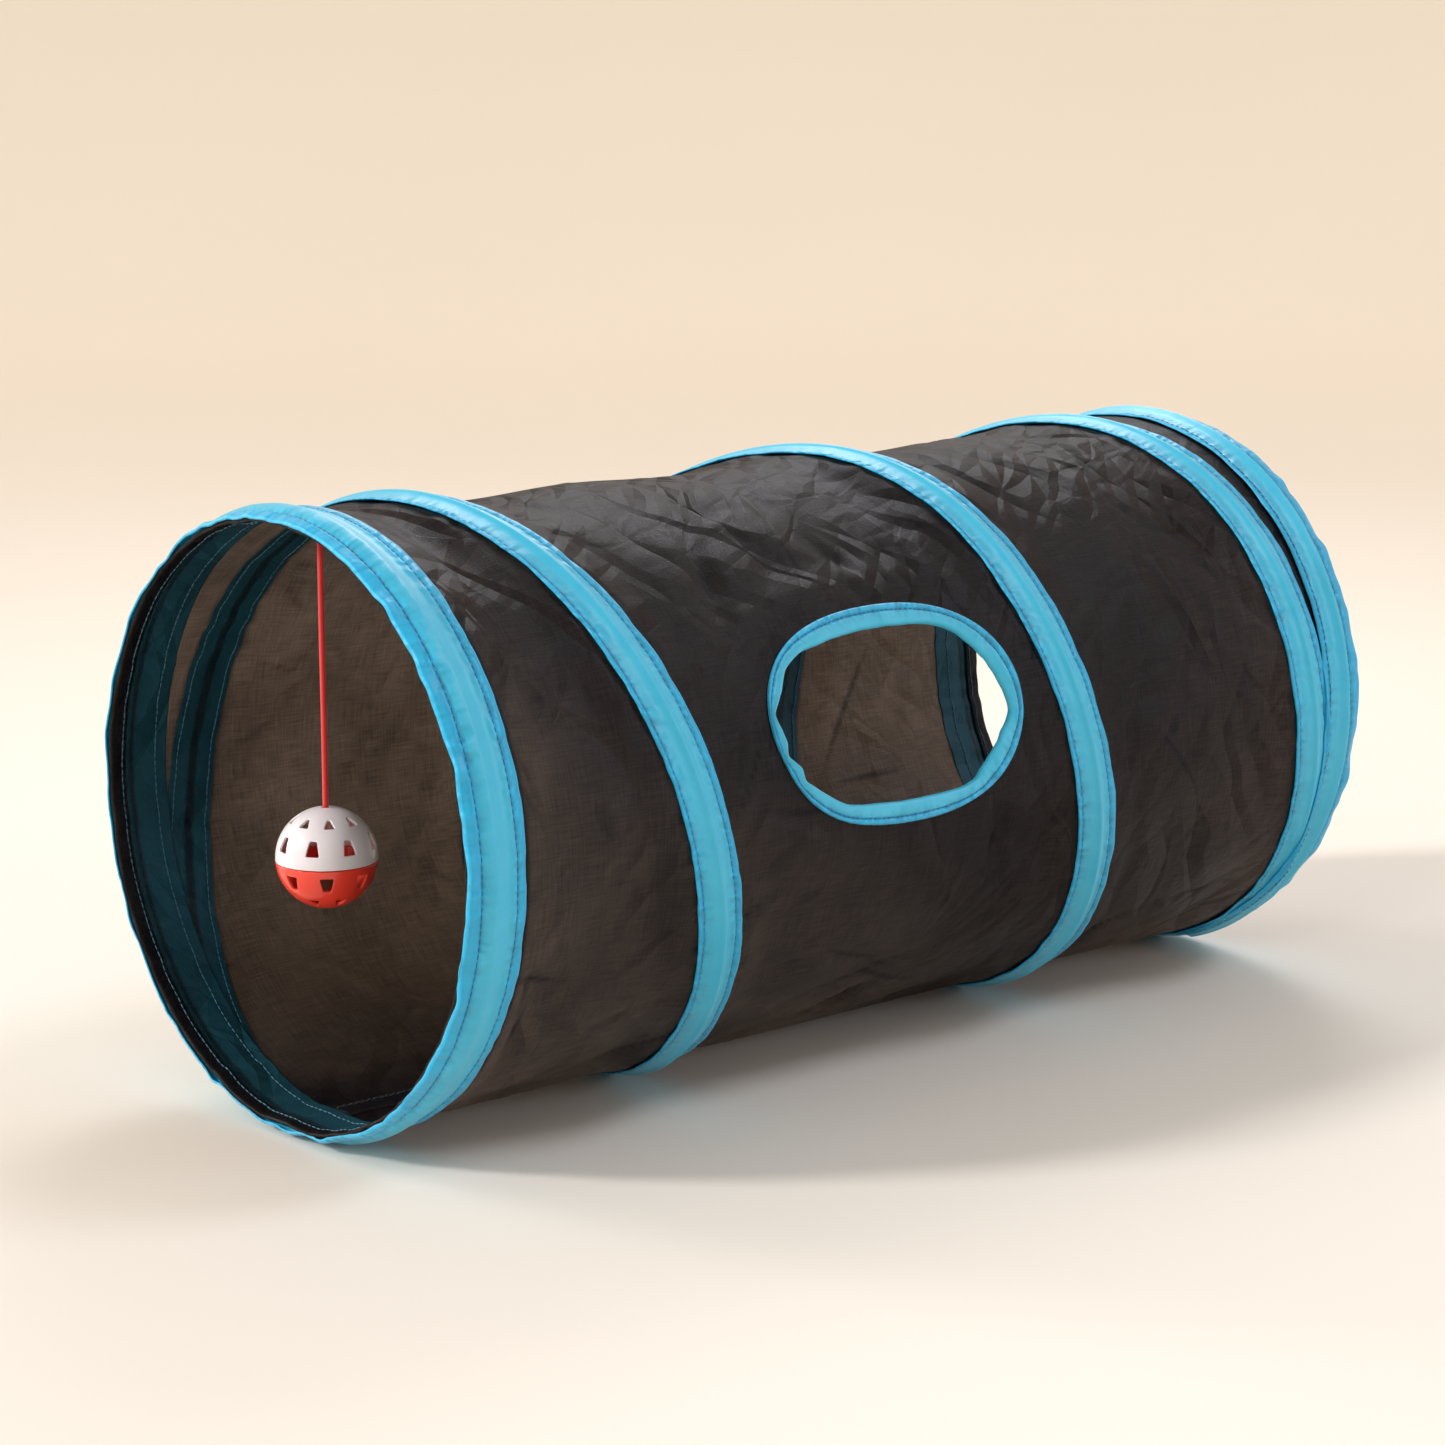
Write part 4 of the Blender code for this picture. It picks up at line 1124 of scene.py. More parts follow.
def round_opening(table, turn, soft):
    """A table's values in metres, at these turns round the opening. soft rounds its corners off."""
    degrees, distances = np.array(table).T
    turns = np.degrees(turn)
    shifts = np.linspace(-soft, soft, ROUNDING_POINTS)
    return np.mean([np.interp(turns + s, degrees, distances, period=360) for s in shifts], axis=0) / 1000


def turn_at(x, angle):
    """The opening's turn on the line from its middle through these points."""
    along = (x - HOLE_X) / (HOLE_LENGTH / 2)
    round_wall = (angle - HOLE_ANGLE) * CLOTH_RADIUS / (HOLE_HEIGHT / 2)
    return np.arctan2(signed_power(round_wall, HOLE_POWER / 2), signed_power(along, HOLE_POWER / 2))


def cut_edge(turn):
    """How far outside the opening's outline the cloth is cut: just behind the binding's fold."""
    return np.maximum(round_opening(BINDING_INSIDE, turn, CUT_ROUNDING) + CUT_MARGIN, 0)


def even_turns(count):
    """Turns that space points evenly along the opening's outline."""
    fine = np.linspace(0, TURN, OUTLINE_POINTS)
    x, angle = hole_line(fine, 0)
    steps = np.hypot(np.diff(x), np.diff(angle) * CLOTH_RADIUS)
    length = np.concatenate(([0], np.cumsum(steps)))
    wanted = np.linspace(0, length[-1], count + 1)
    return np.interp(wanted, length, fine), wanted


# Operators: one for each piece or group of like pieces


class TUNNEL_OT_mouth_bands(bpy.types.Operator):
    """Light blue tape round both mouths, with its stitches."""

    bl_idname = "tunnel.mouth_bands"
    bl_label = "Mouth bands"

    def execute(self, context):
        size = sizes()
        thread = thread_finish("blue thread", colours().thread)
        angles = TURN * np.arange(BAND_STEPS) / BAND_STEPS
        along = CLOTH_RADIUS * np.append(angles, TURN)
        for side, word in MOUTHS:
            width = MOUTH_WIDTHS[side]
            tape = tape_finish(f"{word} band tape", mouth_rows(side), width)
            places = np.concatenate(([-RIM_TUCK, 0.0], np.linspace(size.tape_thickness, width, BAND_COLUMNS)))
            columns = places if side < 0 else places[::-1]
            points = mouth_surface(side, angles[:, None], columns[None, :], size.tape_thickness)
            band = add_object(f"{word}_band", woven(f"{word}_band", points, along, columns, True), tape)
            thicken(band, size.tape_thickness)
            settle(band, f"{word}_mouth", "tape", f"{word}_mouth_band")
            lift = size.tape_thickness + size.thread_diameter * 0.1
            rows = [mouth_surface(side, angles, np.full_like(angles, row), lift) for row in mouth_rows(side)]
            settle(sew(f"{word}_band_stitches", rows, True, thread), f"{word}_mouth", "tape")
        return {"FINISHED"}


class TUNNEL_OT_hems(bpy.types.Operator):
    """The cloth under both mouth bands, folded in at the rim, with the threads that show inside."""

    bl_idname = "tunnel.hems"
    bl_label = "Hems"

    def execute(self, context):
        size = sizes()
        cloth = cloth_finish("hem cloth", painted_band_glow)
        thread = thread_finish("inner thread", colours().inner_thread)
        angles = TURN * np.arange(HEM_STEPS) / HEM_STEPS
        along = CLOTH_RADIUS * np.append(angles, TURN)
        share = angles / TURN
        tip = HEM_FOLD_START - HEM_FOLD_TIP
        folded, plain = HEM_COLUMNS
        path = [(place, HEM_FOLD_DEPTH) for place in np.linspace(HEM_WIDTH, HEM_FOLD_START, folded)]
        path += [(tip, HEM_FOLD_DEPTH * 0.8), (tip, HEM_FOLD_DEPTH * 0.3)]
        path += [(place, 0.0) for place in np.linspace(HEM_FOLD_START, HEM_REACH, plain)]
        places, depths = np.array(path).T
        radius = CLOTH_RADIUS - size.cloth_thickness - LAYER_GAP - HEM_SET_IN
        for side, word in MOUTHS:
            seed = RIM_SEEDS[side]
            ripple = rim_scallops(side, angles[:, None]) * np.clip(1 - places / MOUTH_ROW, 0, 1)
            pull = SEAM_PUCKER * 2 * (wander(share, 137, seed + 7) + 0.6 * wander(share, 61, seed + 8))
            sunk = np.minimum(pull, 0)
            x = side * (RIM - places - ripple)
            points = on_tube(x, angles[:, None], radius - depths + sunk[:, None])
            inward = -side
            mesh = woven(f"{word}_inner_hem", points[:, ::inward], along, places[::inward], True)
            hem = add_object(f"{word}_inner_hem", mesh, cloth)
            thicken(hem, size.cloth_thickness * 0.8, 0)
            settle(hem, f"{word}_mouth", "cloth", f"{word}_hem")
            rows = []
            for row, depth in zip(mouth_rows(side), (HEM_FOLD_DEPTH, 0.0)):
                inside = radius - size.cloth_thickness * 0.4 - depth - size.thread_diameter * 0.5
                wobble = HEM_SET_IN * wander(share, 90, seed + 9)
                rows.append(on_tube(side * (RIM - row) + wobble, angles, inside + sunk))
            settle(sew(f"{word}_hem_stitches", rows, True, thread, True), f"{word}_mouth", "cloth")
        return {"FINISHED"}


class TUNNEL_OT_cloth(bpy.types.Operator):
    """The black cloth between the mouth bands, with the side opening."""

    bl_idname = "tunnel.cloth"
    bl_label = "Cloth"

    def execute(self, context):
        angles = TURN * np.arange(CLOTH_ROWS) / CLOTH_ROWS
        ends = [side * (RIM - MOUTH_WIDTHS[side] + BAND_TUCK) for side in (-1, 1)]
        x, angle = np.broadcast_arrays(np.linspace(*ends, CLOTH_COLUMNS)[None, :], angles[:, None])
        turn = turn_at(x, angle)
        cut_x, cut_angle = hole_line(turn, cut_edge(turn))
        reach = np.hypot(x - HOLE_X, (angle - HOLE_ANGLE) * CLOTH_RADIUS)
        reach /= np.hypot(cut_x - HOLE_X, (cut_angle - HOLE_ANGLE) * CLOTH_RADIUS)
        gone, near = SNAP_SHARES
        inside = reach < gone
        # The cells that cross the cut edge end on it.
        snap = self.touches(inside) & ~inside & (reach < near)
        x = np.where(snap, cut_x, x)
        angle = np.where(snap, cut_angle, angle)
        along = CLOTH_RADIUS * np.append(angles, TURN)
        mesh = woven("tunnel_cloth", cloth_point(x, angle), along, x, True, ~inside.ravel())
        cloth = add_object("tunnel_cloth", mesh, cloth_finish("tunnel cloth", painted_spiral_glow))
        self.mark(mesh)
        thicken(cloth, sizes().cloth_thickness)
        settle(cloth, "front_mouth", "cloth", "tunnel_fabric", shrinks=True)
        return {"FINISHED"}

    def touches(self, inside):
        """Points beside one that the opening takes away, diagonals too."""
        near = inside.copy()
        for rows in (-1, 0, 1):
            for columns in (-1, 0, 1):
                near |= np.roll(np.roll(inside, rows, axis=0), columns, axis=1)
        return near

    def mark(self, mesh):
        """Gives each point its distance from the spiral wire, where tape shows through as a painted glow, and
        its crease, along which the light through the cloth is painted darker.
        """
        x, y, z = coordinates(mesh).T
        angle = np.arctan2(y, AXIS_HEIGHT - z) % TURN
        away = np.min([np.abs(x - middle) for middle in spiral_passes(angle)], axis=0)
        for name, values in (("from_spiral", away), ("crease", creases(x, angle)[1])):
            mesh.attributes.new(name, "FLOAT", "POINT").data.foreach_set("value", values.astype(np.float32))


class TUNNEL_OT_spiral_band(bpy.types.Operator):
    """Light blue tape over the spiral spring, with its stitches outside and inside."""

    bl_idname = "tunnel.spiral_band"
    bl_label = "Spiral band"

    def execute(self, context):
        size = sizes()
        edge = SPIRAL_BAND_WIDTH / 2
        rows = (edge - SPIRAL_ROW, edge + SPIRAL_ROW)
        tape = tape_finish("spiral band tape", rows, SPIRAL_BAND_WIDTH)
        turns = TURN * SPIRAL_TURNS * np.arange(SPIRAL_STEPS + 1) / SPIRAL_STEPS
        middle = spiral_x(turns)
        low = np.maximum(-edge, MOUTH_WIDTHS[-1] - BAND_TUCK - RIM - middle)
        high = np.minimum(edge, RIM - MOUTH_WIDTHS[1] + BAND_TUCK - middle)
        shown = high - low > NARROWEST_TAPE
        angles, low, high = turns[shown], low[shown], high[shown]
        away = low[:, None] + (high - low)[:, None] * np.linspace(0, 1, SPIRAL_COLUMNS)[None, :]
        points = spiral_surface(angles[:, None], away, size.tape_thickness)
        mesh = woven("spiral_tape", points, CLOTH_RADIUS * angles, away + edge)
        band = add_object("spiral_tape", mesh, tape)
        thicken(band, size.tape_thickness)
        settle(band, "front_mouth", "tape", "spiral_band", shrinks=True)
        sunk = size.cloth_thickness + size.thread_diameter * 0.8
        outside, inside = [], []
        for row in (-SPIRAL_ROW, SPIRAL_ROW):
            place = spiral_x(angles) + row
            free = angles[(place > MOUTH_WIDTHS[-1] - RIM) & (place < RIM - MOUTH_WIDTHS[1])]
            outside.append(spiral_surface(free, np.full_like(free, row), size.tape_thickness))
            free = turns[np.abs(middle + row) < CLOTH_END]
            inside.append(cloth_point(spiral_x(free) + row, free, sunk))
        outer = thread_finish("spiral thread", colours().thread)
        settle(sew("spiral_stitches", outside, False, outer), "front_mouth", "tape", shrinks=True)
        under = thread_finish("spiral inner thread", colours().inner_thread)
        settle(sew("spiral_inner_stitches", inside, False, under, True), "front_mouth", "cloth", shrinks=True)
        return {"FINISHED"}


class TUNNEL_OT_hole_binding(bpy.types.Operator):
    """Tape folded over the side opening's cut edge, caught in pleats, with its stitches."""

    bl_idname = "tunnel.hole_binding"
    bl_label = "Side opening binding"

    def surface(self, turn, length, share, height):
        """Points of the binding, this share of the way from its outer edge to its fold, which is pleated."""
        place = length / length[-1]
        outside = round_opening(BINDING_OUTSIDE, turn, OUTSIDE_ROUNDING)
        inside = round_opening(BINDING_INSIDE, turn, INSIDE_ROUNDING)
        toward_fold = np.clip(share, 0, 1) ** 1.5
        lift = sum(height * wander(place, knots, seed) for height, knots, seed in BINDING_LIFTS)
        grow = outside[:, None] + (inside - outside)[:, None] * share
        x, angle = hole_line(turn[:, None], grow)
        return on_tube(x, angle, CLOTH_RADIUS + height + toward_fold * lift[:, None])

    def execute(self, context):
        size = sizes()
        turn, length = even_turns(BINDING_STEPS)
        shares, heights = np.array(BINDING_SECTION).T
        steps = np.append(0, np.cumsum(np.hypot(np.diff(shares) * BINDING_WIDTH, np.diff(heights))))
        fine = np.linspace(0, steps[-1], BINDING_COLUMNS)
        share = through(np.column_stack((steps, shares)), fine)
        height = through(np.column_stack((steps, heights)), fine)
        points = self.surface(turn, length, share[None, :], height[None, :])[:-1]
        outer = np.arange(BINDING_COLUMNS) < np.argmax(share) - 1
        row = np.interp(BINDING_ROW, share[outer], fine[outer])
        tape = tape_finish("binding tape", (row, steps[-1] - row), steps[-1])
        mesh = woven("opening_binding", points, length, fine, True)
        mesh.flip_normals()
        binding = add_object("opening_binding", mesh, tape)
        thicken(binding, size.tape_thickness * 0.8)
        settle(binding, "front_mouth", "tape", "side_hole_binding", shrinks=True)
        thread = thread_finish("binding thread", colours().thread)
        lines = []
        for away, side in ((row, 1), (steps[-1] - row, -1)):
            place = np.full((1, 1), np.interp(away, fine, share))
            rise = np.interp(away, fine, height) + side * size.thread_diameter / 5
            lines.append(self.surface(turn, length, place, rise)[:-1, 0])
        stitches = sew("binding_stitches", lines, True, thread, pitch_share=0.8)
        settle(stitches, "front_mouth", "tape", shrinks=True)
        return {"FINISHED"}


class TUNNEL_OT_seam(bpy.types.Operator):
    """The seam allowance along the bottom inside, with its overlock stitches."""

    bl_idname = "tunnel.seam"
    bl_label = "Lengthwise seam"

    def execute(self, context):
        size = sizes()
        x = np.linspace(-CLOTH_END, CLOTH_END, SEAM_STEPS)
        share = (x + CLOTH_END) / (2 * CLOTH_END)
        base = AXIS_HEIGHT - (CLOTH_RADIUS - size.cloth_thickness) * math.cos(FLAT_ANGLE) + LAYER_GAP
        edge = SEAM_HALF_WIDTH * SEAM_WANDER * wander(share, 71, 401)
        ruffle = SEAM_RUFFLE * (1 + wander(share, 93, 402))
        points = []
        for aside, rise in SEAM_SECTION:
            y = aside * SEAM_HALF_WIDTH + math.copysign(1, aside) * edge
            points.append(np.column_stack((x, y, base + rise + (rise > 0) * ruffle)))
        loop = np.array(points + points[:1]).transpose(1, 0, 2)
        mesh = woven("bottom_seam", loop, x + CLOTH_END, np.linspace(0, 2 * SEAM_HALF_WIDTH, len(points) + 1))
        seal(mesh)
        seam = add_object("bottom_seam", mesh, cloth_finish("seam cloth", plain_cloth))
        settle(seam, "front_mouth", "cloth", "lengthwise_seam", shrinks=True)
        black = thread_finish("black thread", colours().black_thread)
        zigzag = SEAM_HALF_WIDTH * np.where(np.arange(SEAM_STEPS) % 2 == 0, ZIGZAG_SHARE, 1)
        line = np.column_stack((x, zigzag, np.full_like(x, base + SEAM_STITCH_HEIGHT)))
        stitches = sew("seam_stitches", [line], False, black, pitch_share=0.6)
        settle(stitches, "front_mouth", "cloth", shrinks=True)
        return {"FINISHED"}


class TUNNEL_OT_springs(bpy.types.Operator):
    """The spiral spring, and the steel of the rings and their crimp sleeves."""

    bl_idname = "tunnel.springs"
    bl_label = "Springs"

    def execute(self, context):
        steel = metal_finish("spring steel wire", colours().steel, 0.38)
        angles = TURN * (SPIRAL_TURNS - SPRING_SHORTFALL) * np.arange(SPRING_STEPS + 1) / SPRING_STEPS
        line = on_tube(spiral_x(angles), angles, np.full_like(angles, WIRE_RADIUS))
        values = {"Radius": WIRE_DIAMETER / 2, "Sides": SPRING_SIDES, "Material": steel}
        wire = grown("spiral_spring", line_mesh("spiral_line", [line], False), wire_tree(), values)
        settle(wire, "front_mouth", "spring_steel", "spiral_wire", shrinks=True)
        for _, word in MOUTHS:
            for kind in ("wire", "ferrule"):
                node = frame["nodes"][f"{word}_ring_{kind}"]
                node.data.materials.clear()
                node.data.materials.append(steel)
        return {"FINISHED"}


class TUNNEL_OT_cord(bpy.types.Operator):
    """The tab, the cord's loop and whipping, the cord and the knot inside the ball."""

    bl_idname = "tunnel.cord"
    bl_label = "Cord"

    def execute(self, context):
        radius = CORD_DIAMETER / 2
        red = cord_finish("red cord", colours().red_cord, radius)
        turns = TURN * np.arange(LOOP_STEPS) / LOOP_STEPS
        ring = [(CORD_X, LOOP_RADIUS * math.cos(t), LOOP_CENTRE + LOOP_RADIUS * math.sin(t)) for t in turns]
        loop = add_object("cord_loop_ring", tube("cord_loop_ring", ring, radius, LOOP_SIDES, True), red)
        settle(loop, "cord_loop", "red_cord", "cord_top_loop")
        coils = np.arange(0, WHIPPING_TURNS * TURN, TURN / COIL_STEPS)
        climb = (coils / coils[-1] - 0.5) * WHIPPING_SWEEP
        rise = WHIPPING_REACH * np.sin(climb)
        wide = WHIPPING_REACH * np.cos(climb)
        winding = (CORD_X + wide * np.cos(coils), wide * np.sin(coils), WHIPPING_CENTRE + rise)
        thread = tube("cord_whipping", np.column_stack(winding), WHIPPING_THREAD, WHIPPING_SIDES)
        whipping = add_object("cord_whipping", thread, red)
        settle(whipping, "cord_loop", "red_cord")
        share = np.linspace(0, 1, CORD_POINTS)
        bow = CORD_BOW * np.sin(TURN * share) * np.sin(math.pi * share)
        fall = CORD_TUCK - (CORD_LENGTH + CORD_TUCK) * share
        path = np.column_stack((CORD_X + bow * BOW_LEAN, bow, CORD_TOP + fall))
        cord = add_object("red_cord", tube("red_cord", path, radius, CORD_SIDES), red)
        knot = self.knot(red)
        settle(cord, "cord", "red_cord", "hanging_cord")
        self.tab()
        return {"FINISHED"}

    def knot(self, red):
        """An overhand knot drawn tight under the ball's top hole."""
        centre = BALL_CENTRE + BALL_RADIUS - BALL_WALL - LAYER_GAP - KNOT_HEIGHT / 2
        turns = TURN * np.arange(KNOT_STEPS) / KNOT_STEPS
        spread = (KNOT_DIAMETER / 2 - KNOT_INSET) * (1 - KNOT_WAVE + KNOT_WAVE * np.cos(3 * turns))
        rise = (KNOT_HEIGHT / 2 - KNOT_INSET) * np.sin(3 * turns)
        line = (CORD_X + spread * np.cos(2 * turns), spread * np.sin(2 * turns), centre + rise)
        strand = tube("cord_knot", np.column_stack(line), KNOT_STRAND, KNOT_SIDES, True)
        return settle(add_object("cord_knot", strand, red), "cord", "red_cord", "cord_stopper_knot")

    def tab(self):
        """A ribbon bent round the cord's loop, with its flanges behind the band."""
        low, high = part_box("hanging_tab")
        half = TAB_HALF_THICKNESS
        bend = CORD_DIAMETER / 2 + LAYER_GAP + half
        top, middle = high.z - half, low.z + half + bend
        flange = (high.x - low.x) / 2
        shoulders = ((flange, top), (bend + TAB_SHOULDER, top), (bend, top - TAB_CORNER))
        path = [(CORD_X - aside, z) for aside, z in shoulders]
        turns = np.linspace(0, math.pi, TAB_BEND_POINTS)
        path += [(CORD_X - bend * math.cos(t), middle - bend * math.sin(t)) for t in turns]
        path += [(CORD_X + aside, z) for aside, z in reversed(shoulders)]
        sides = np.linspace(low.y, high.y, 5)
        points = np.array([[(x, y, z) for y in sides] for x, z in path])
        mesh = woven("black_tab", points, np.linspace(0, TAB_LENGTH, len(path)), sides)
        tab = add_object("black_tab", mesh, cloth_finish("tab cloth", plain_cloth))
        thicken(tab, sizes().cloth_thickness, 0)
        settle(tab, "front_mouth", "cloth", "hanging_tab")


class TUNNEL_OT_ball(bpy.types.Operator):
    """The lattice ball's white and red halves."""

    bl_idname = "tunnel.ball"
    bl_label = "Ball"

    def windows(self, form, side, turn, window):
        """A ring of tapered window cutters round the ball."""
        height, top, bottom, latitude = window
        outline = [(-bottom, -height), (bottom, -height), (top, height), (-top, height)]
        for k in range(WINDOWS_AROUND):
            azimuth = turn + TURN * k / WINDOWS_AROUND
            east = Vector((-math.sin(azimuth), math.cos(azimuth), 0))
            level = Vector((math.cos(azimuth), math.sin(azimuth), 0))
            upward = Vector((0, 0, side))
            outward = level * math.cos(latitude) + upward * math.sin(latitude)
            north = upward * math.cos(latitude) - level * math.sin(latitude)
            rings = []
            for reach in (BALL_RADIUS - BALL_WALL - CUTTER_REACH, BALL_RADIUS + CUTTER_REACH):
                points = [outward * reach + (east * e + north * n) / 2 for e, n in outline]
                rings.append([form.verts.new(point) for point in points])
            for i in range(4):
                j = (i + 1) % 4
                form.faces.new((rings[0][i], rings[0][j], rings[1][j], rings[1][i]))
            form.faces.new(rings[0])
            form.faces.new(rings[1])

    def half(self, name, profile, side, turn, finish):
        """Turned, pierced, and rounded at the windows by a fine remesh that keeps both faces truly round."""
        obj = add_object(name, turned(name, profile, BALL_STEPS), finish)
        form = bmesh.new()
        self.windows(form, side, turn, WAIST_WINDOW)
        self.windows(form, side, turn + math.pi / WINDOWS_AROUND, POLE_WINDOW)
        bmesh.ops.recalc_face_normals(form, faces=form.faces)
        cutter = add_object("windows", finished("windows", form))
        carve(obj, cutter)
        fine = obj.modifiers.new("fine", "REMESH")
        fine.mode = "VOXEL"
        fine.voxel_size = BALL_VOXEL
        soft = obj.modifiers.new("soft", "SMOOTH")
        soft.factor, soft.iterations = BALL_SOFTENING
        mesh = baked(obj)
        bpy.data.objects.remove(obj)
        bpy.data.objects.remove(cutter)
        points = coordinates(mesh)
        reach = np.linalg.norm(points, axis=1)
        for true in (BALL_RADIUS, BALL_RADIUS - BALL_WALL):
            near = np.abs(reach - true) < TRUE_FACE_REACH
            points[near] *= (true / reach[near])[:, None]
        points += np.array((CORD_X, 0, BALL_CENTRE), np.float32)
        mesh.vertices.foreach_set("co", points.ravel())
        mesh.shade_smooth()
        return add_object(name, mesh)

    def execute(self, context):
        tone = colours()
        inner = BALL_RADIUS - BALL_WALL
        rim = -BALL_SEAM_DROP
        steps = BALL_ARC_STEPS
        profile = arc(BALL_RADIUS, math.asin(rim / BALL_RADIUS), math.acos(CORD_HOLE / BALL_RADIUS), steps)
        profile += arc(inner, math.acos(CORD_HOLE / inner), math.asin(rim / inner), steps)
        white = plastic_finish("white plastic", tone.white_plastic, 0.30)
        upper = self.half("ball_white_half", profile, 1, UPPER_WINDOW_TURN, white)
        settle(upper, "ball", "white_plastic", "ball_upper_half")
        rim -= LAYER_GAP
        lip = inner - LAYER_GAP
        lip_inside = lip - BALL_LIP_WALL
        lip_top = BALL_LIP_HEIGHT - BALL_SEAM_DROP
        profile = arc(BALL_RADIUS, -math.pi / 2, math.asin(rim / BALL_RADIUS), steps)
        profile += [(lip, rim), (lip, lip_top), (lip_inside, lip_top)]
        profile += arc(inner, -math.acos(lip_inside / inner), -math.pi / 2, steps)
        red = plastic_finish("red plastic", tone.red_plastic, 0.22)
        lower = self.half("ball_red_half", profile, -1, LOWER_WINDOW_TURN, red)
        settle(lower, "ball", "red_plastic", "ball_lower_half")
        return {"FINISHED"}


class TUNNEL_OT_bell(bpy.types.Operator):
    """The bell's two pressed shells, crimped at a flange, and its pellet."""

    bl_idname = "tunnel.bell"
    bl_label = "Bell"

    def execute(self, context):
        brass = metal_finish("dark bell brass", colours().bell_metal, 0.40)
        centre = (CORD_X, 0, BELL_CENTRE)
        start, flange, inside = LAYER_GAP / 2, BELL_RADIUS + BELL_FLANGE, BELL_RADIUS - BELL_WALL
        foot = math.asin((start + BELL_WALL) / BELL_RADIUS)
        profile = [(flange, start), (flange, start + BELL_WALL)]
        profile += arc(BELL_RADIUS, foot, math.pi / 2, BELL_ARC_STEPS)
        profile += arc(inside, math.pi / 2, math.asin(start / inside), BELL_ARC_STEPS)
        for word, side in (("upper", 1), ("lower", -1)):
            mesh = turned(f"bell_{word}", [(radius, height * side) for radius, height in profile], BELL_STEPS)
            shell = add_object(f"bell_{word}", mesh, brass)
            if side < 0:
                self.slot(shell)
            shell.data.transform(Matrix.Translation(centre))
            shell.data.set_sharp_from_angle(angle=SHARP_ANGLE)
            settle(shell, "bell", "bell_metal", f"bell_{word}_shell")
        low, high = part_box("bell_pellet")
        profile = arc((high.x - low.x) / 2, -math.pi / 2, math.pi / 2, BELL_ARC_STEPS)
        steel = metal_finish("pellet steel", colours().steel, 0.35)
        mesh = turned("steel_pellet", profile, PELLET_STEPS, (low + high) / 2)
        settle(add_object("steel_pellet", mesh, steel), "pellet", "spring_steel", "bell_pellet")
        return {"FINISHED"}

    def slot(self, shell):
        """The narrow slot with a round hole at each end."""
        form = bmesh.new()
        bmesh.ops.create_cube(form, size=1)
        bmesh.ops.scale(form, vec=SLOT_SIZE, verts=form.verts)
        bmesh.ops.translate(form, vec=(0, 0, -SLOT_DROP), verts=form.verts)
        cutters = [add_object("slot", finished("slot", form))]
        foot, top = SLOT_HOLE_HEIGHTS
        profile = [(0, foot), (SLOT_HOLE_RADIUS, foot), (SLOT_HOLE_RADIUS, top), (0, top)]
        for x in (-SLOT_END, SLOT_END):
            cutters.append(add_object("round", turned("round", profile, BELL_ARC_STEPS, (x, 0, 0))))
        for cutter in cutters:
            carve(shell, cutter)
        mesh = baked(shell)
        shell.modifiers.clear()
        shell.data = mesh
        for cutter in cutters:
            bpy.data.objects.remove(cutter)


class TUNNEL_OT_declare(bpy.types.Operator):
    """Lists the pieces that lie on the cloth: its bands, hems, tapes, stitches, seam and tab. It does nothing
    with the list.
    """

    bl_idname = "tunnel.declare"
    bl_label = "Declare the cloth"

    def execute(self, context):
        on_it = ["spiral_tape", "spiral_stitches", "spiral_inner_stitches", "opening_binding"]
        on_it += ["binding_stitches", "bottom_seam", "seam_stitches", "black_tab"]
        for _, word in MOUTHS:
            on_it += [f"{word}_{piece}" for piece in ("band", "band_stitches", "inner_hem", "hem_stitches")]
        return {"FINISHED"}


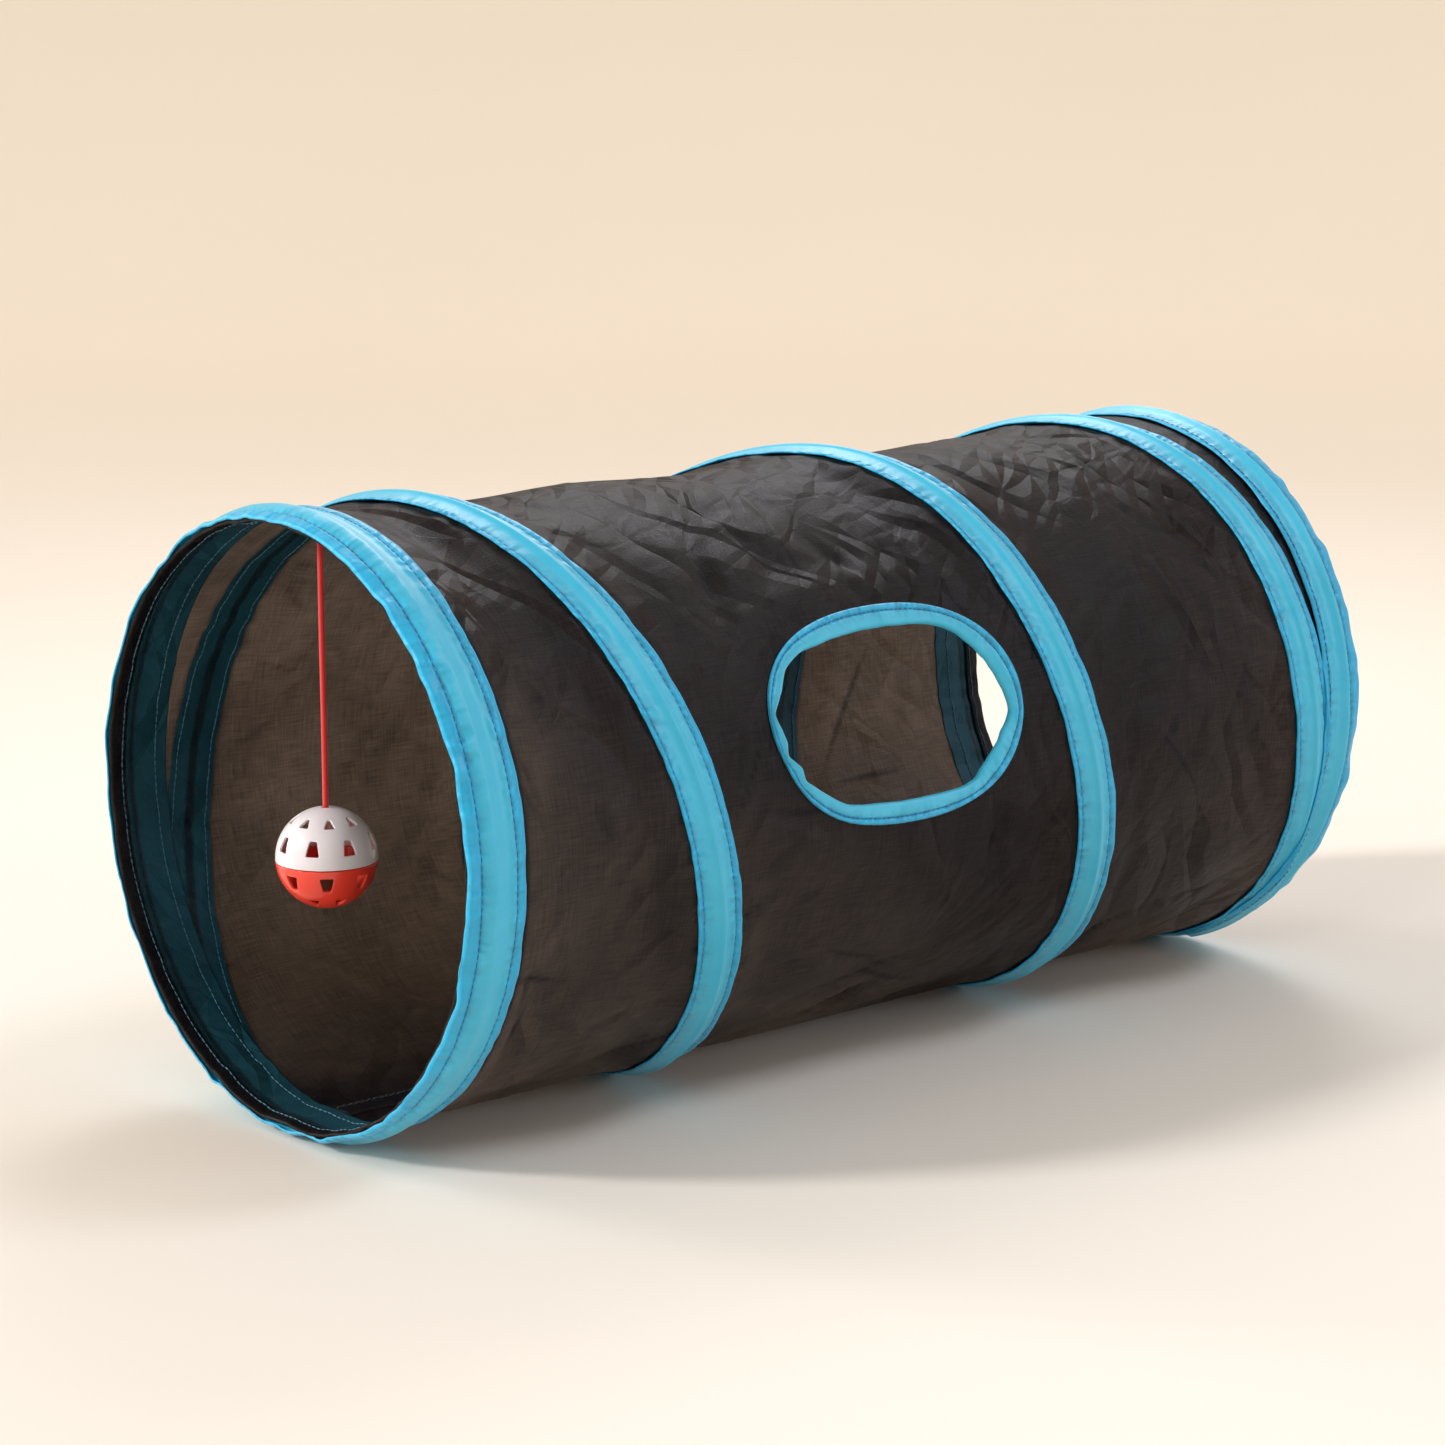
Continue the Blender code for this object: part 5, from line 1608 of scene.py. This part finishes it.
class TUNNEL_OT_stage(bpy.types.Operator):
    """Paper floor and backdrop, soft lamps and the camera."""

    bl_idname = "tunnel.stage"
    bl_label = "Stage"

    def execute(self, context):
        self.paper()
        for name, direction, across, strength, shade in SUNS:
            lamp = self.lamp(name, "SUN", strength, shade)
            lamp.data.angle = math.radians(across)
            self.turn(lamp, Vector(direction))
        back = self.lamp("back", "AREA", BACK_LAMP_WATTS, BACK_LAMP_COLOUR)
        back.data.size = BACK_LAMP_SIZE
        back.data.spread = BACK_LAMP_SPREAD
        back.location = BACK_LAMP_PLACE
        self.turn(back, Vector(BACK_LAMP_PLACE) - Vector((0, 0, AXIS_HEIGHT)))
        world = bpy.data.worlds.new("studio")
        world.use_nodes = True
        room = world.node_tree.nodes["Background"].inputs
        room["Color"].default_value = ROOM_COLOUR
        room["Strength"].default_value = ROOM_STRENGTH
        bpy.context.scene.world = world
        bpy.context.scene.view_settings.view_transform = "Standard"
        camera = add_object("camera", bpy.data.cameras.new("camera"))
        camera.data.lens = CAMERA_LENS
        camera.data.sensor_width = SENSOR_WIDTH
        camera.location = CAMERA_PLACE
        self.turn(camera, -Vector(CAMERA_AIM))
        bpy.context.scene.camera = camera
        return {"FINISHED"}

    def paper(self):
        """A floor that turns up into a backdrop far behind, as one sheet of paper."""
        turns = np.linspace(0, math.pi / 2, PAPER_BEND_POINTS)
        profile = [(PAPER_NEAR, 0.0)]
        profile += [(PAPER_WALL + PAPER_BEND * math.sin(t), PAPER_BEND * (1 - math.cos(t))) for t in turns]
        profile.append((PAPER_WALL + PAPER_BEND, PAPER_TOP))
        aim = Vector((CAMERA_AIM[0], CAMERA_AIM[1], 0)).normalized()
        side = Vector((aim.y, -aim.x, 0)) * PAPER_HALF_WIDTH
        line = np.array([aim * away + Vector((0, 0, z - PAPER_DROP)) for away, z in profile])
        along = np.array((0.0, 2 * PAPER_HALF_WIDTH))
        mesh = woven("paper", np.array([line + side, line - side]), along, np.arange(len(profile)))
        mesh.flip_normals()
        add_object("paper", mesh, paper_finish("warm paper"))

    def lamp(self, name, kind, strength, shade):
        data = bpy.data.lights.new(name, kind)
        data.energy = strength
        data.color = shade
        return add_object(name, data)

    def turn(self, obj, back):
        """Turns a lamp or the camera so that its back faces this way."""
        obj.rotation_mode = "QUATERNION"
        obj.rotation_quaternion = back.to_track_quat("Z", "Y")


OPERATORS = (
    TUNNEL_OT_mouth_bands,
    TUNNEL_OT_hems,
    TUNNEL_OT_cloth,
    TUNNEL_OT_spiral_band,
    TUNNEL_OT_hole_binding,
    TUNNEL_OT_seam,
    TUNNEL_OT_springs,
    TUNNEL_OT_cord,
    TUNNEL_OT_ball,
    TUNNEL_OT_bell,
    TUNNEL_OT_declare,
    TUNNEL_OT_stage,
)


class TUNNEL_PT_panel(bpy.types.Panel):
    """Lists the tunnel's pieces, sizes and colours in the sidebar."""

    bl_idname = "TUNNEL_PT_panel"
    bl_label = "Cat tunnel"
    bl_space_type = "VIEW_3D"
    bl_region_type = "UI"
    bl_category = "Cat tunnel"

    def draw(self, context):
        for group in (context.scene.tunnel_sizes, context.scene.tunnel_colours):
            for name in group.__annotations__:
                self.layout.prop(group, name)
        for operator in OPERATORS:
            self.layout.operator(operator.bl_idname)


CLASSES = (TunnelSizes, TunnelColours, *OPERATORS, TUNNEL_PT_panel)


def register():
    for item in CLASSES:
        bpy.utils.register_class(item)
    bpy.types.Scene.tunnel_sizes = bpy.props.PointerProperty(type=TunnelSizes)
    bpy.types.Scene.tunnel_colours = bpy.props.PointerProperty(type=TunnelColours)


def unregister():
    del bpy.types.Scene.tunnel_colours
    del bpy.types.Scene.tunnel_sizes
    for item in reversed(CLASSES):
        bpy.utils.unregister_class(item)


def main():
    register()
    bpy.ops.tunnel.mouth_bands()
    bpy.ops.tunnel.hems()
    bpy.ops.tunnel.cloth()
    bpy.ops.tunnel.spiral_band()
    bpy.ops.tunnel.hole_binding()
    bpy.ops.tunnel.seam()
    bpy.ops.tunnel.springs()
    bpy.ops.tunnel.cord()
    bpy.ops.tunnel.ball()
    bpy.ops.tunnel.bell()
    bpy.ops.tunnel.declare()
    bpy.ops.tunnel.stage()


if __name__ == "__main__":
    main()
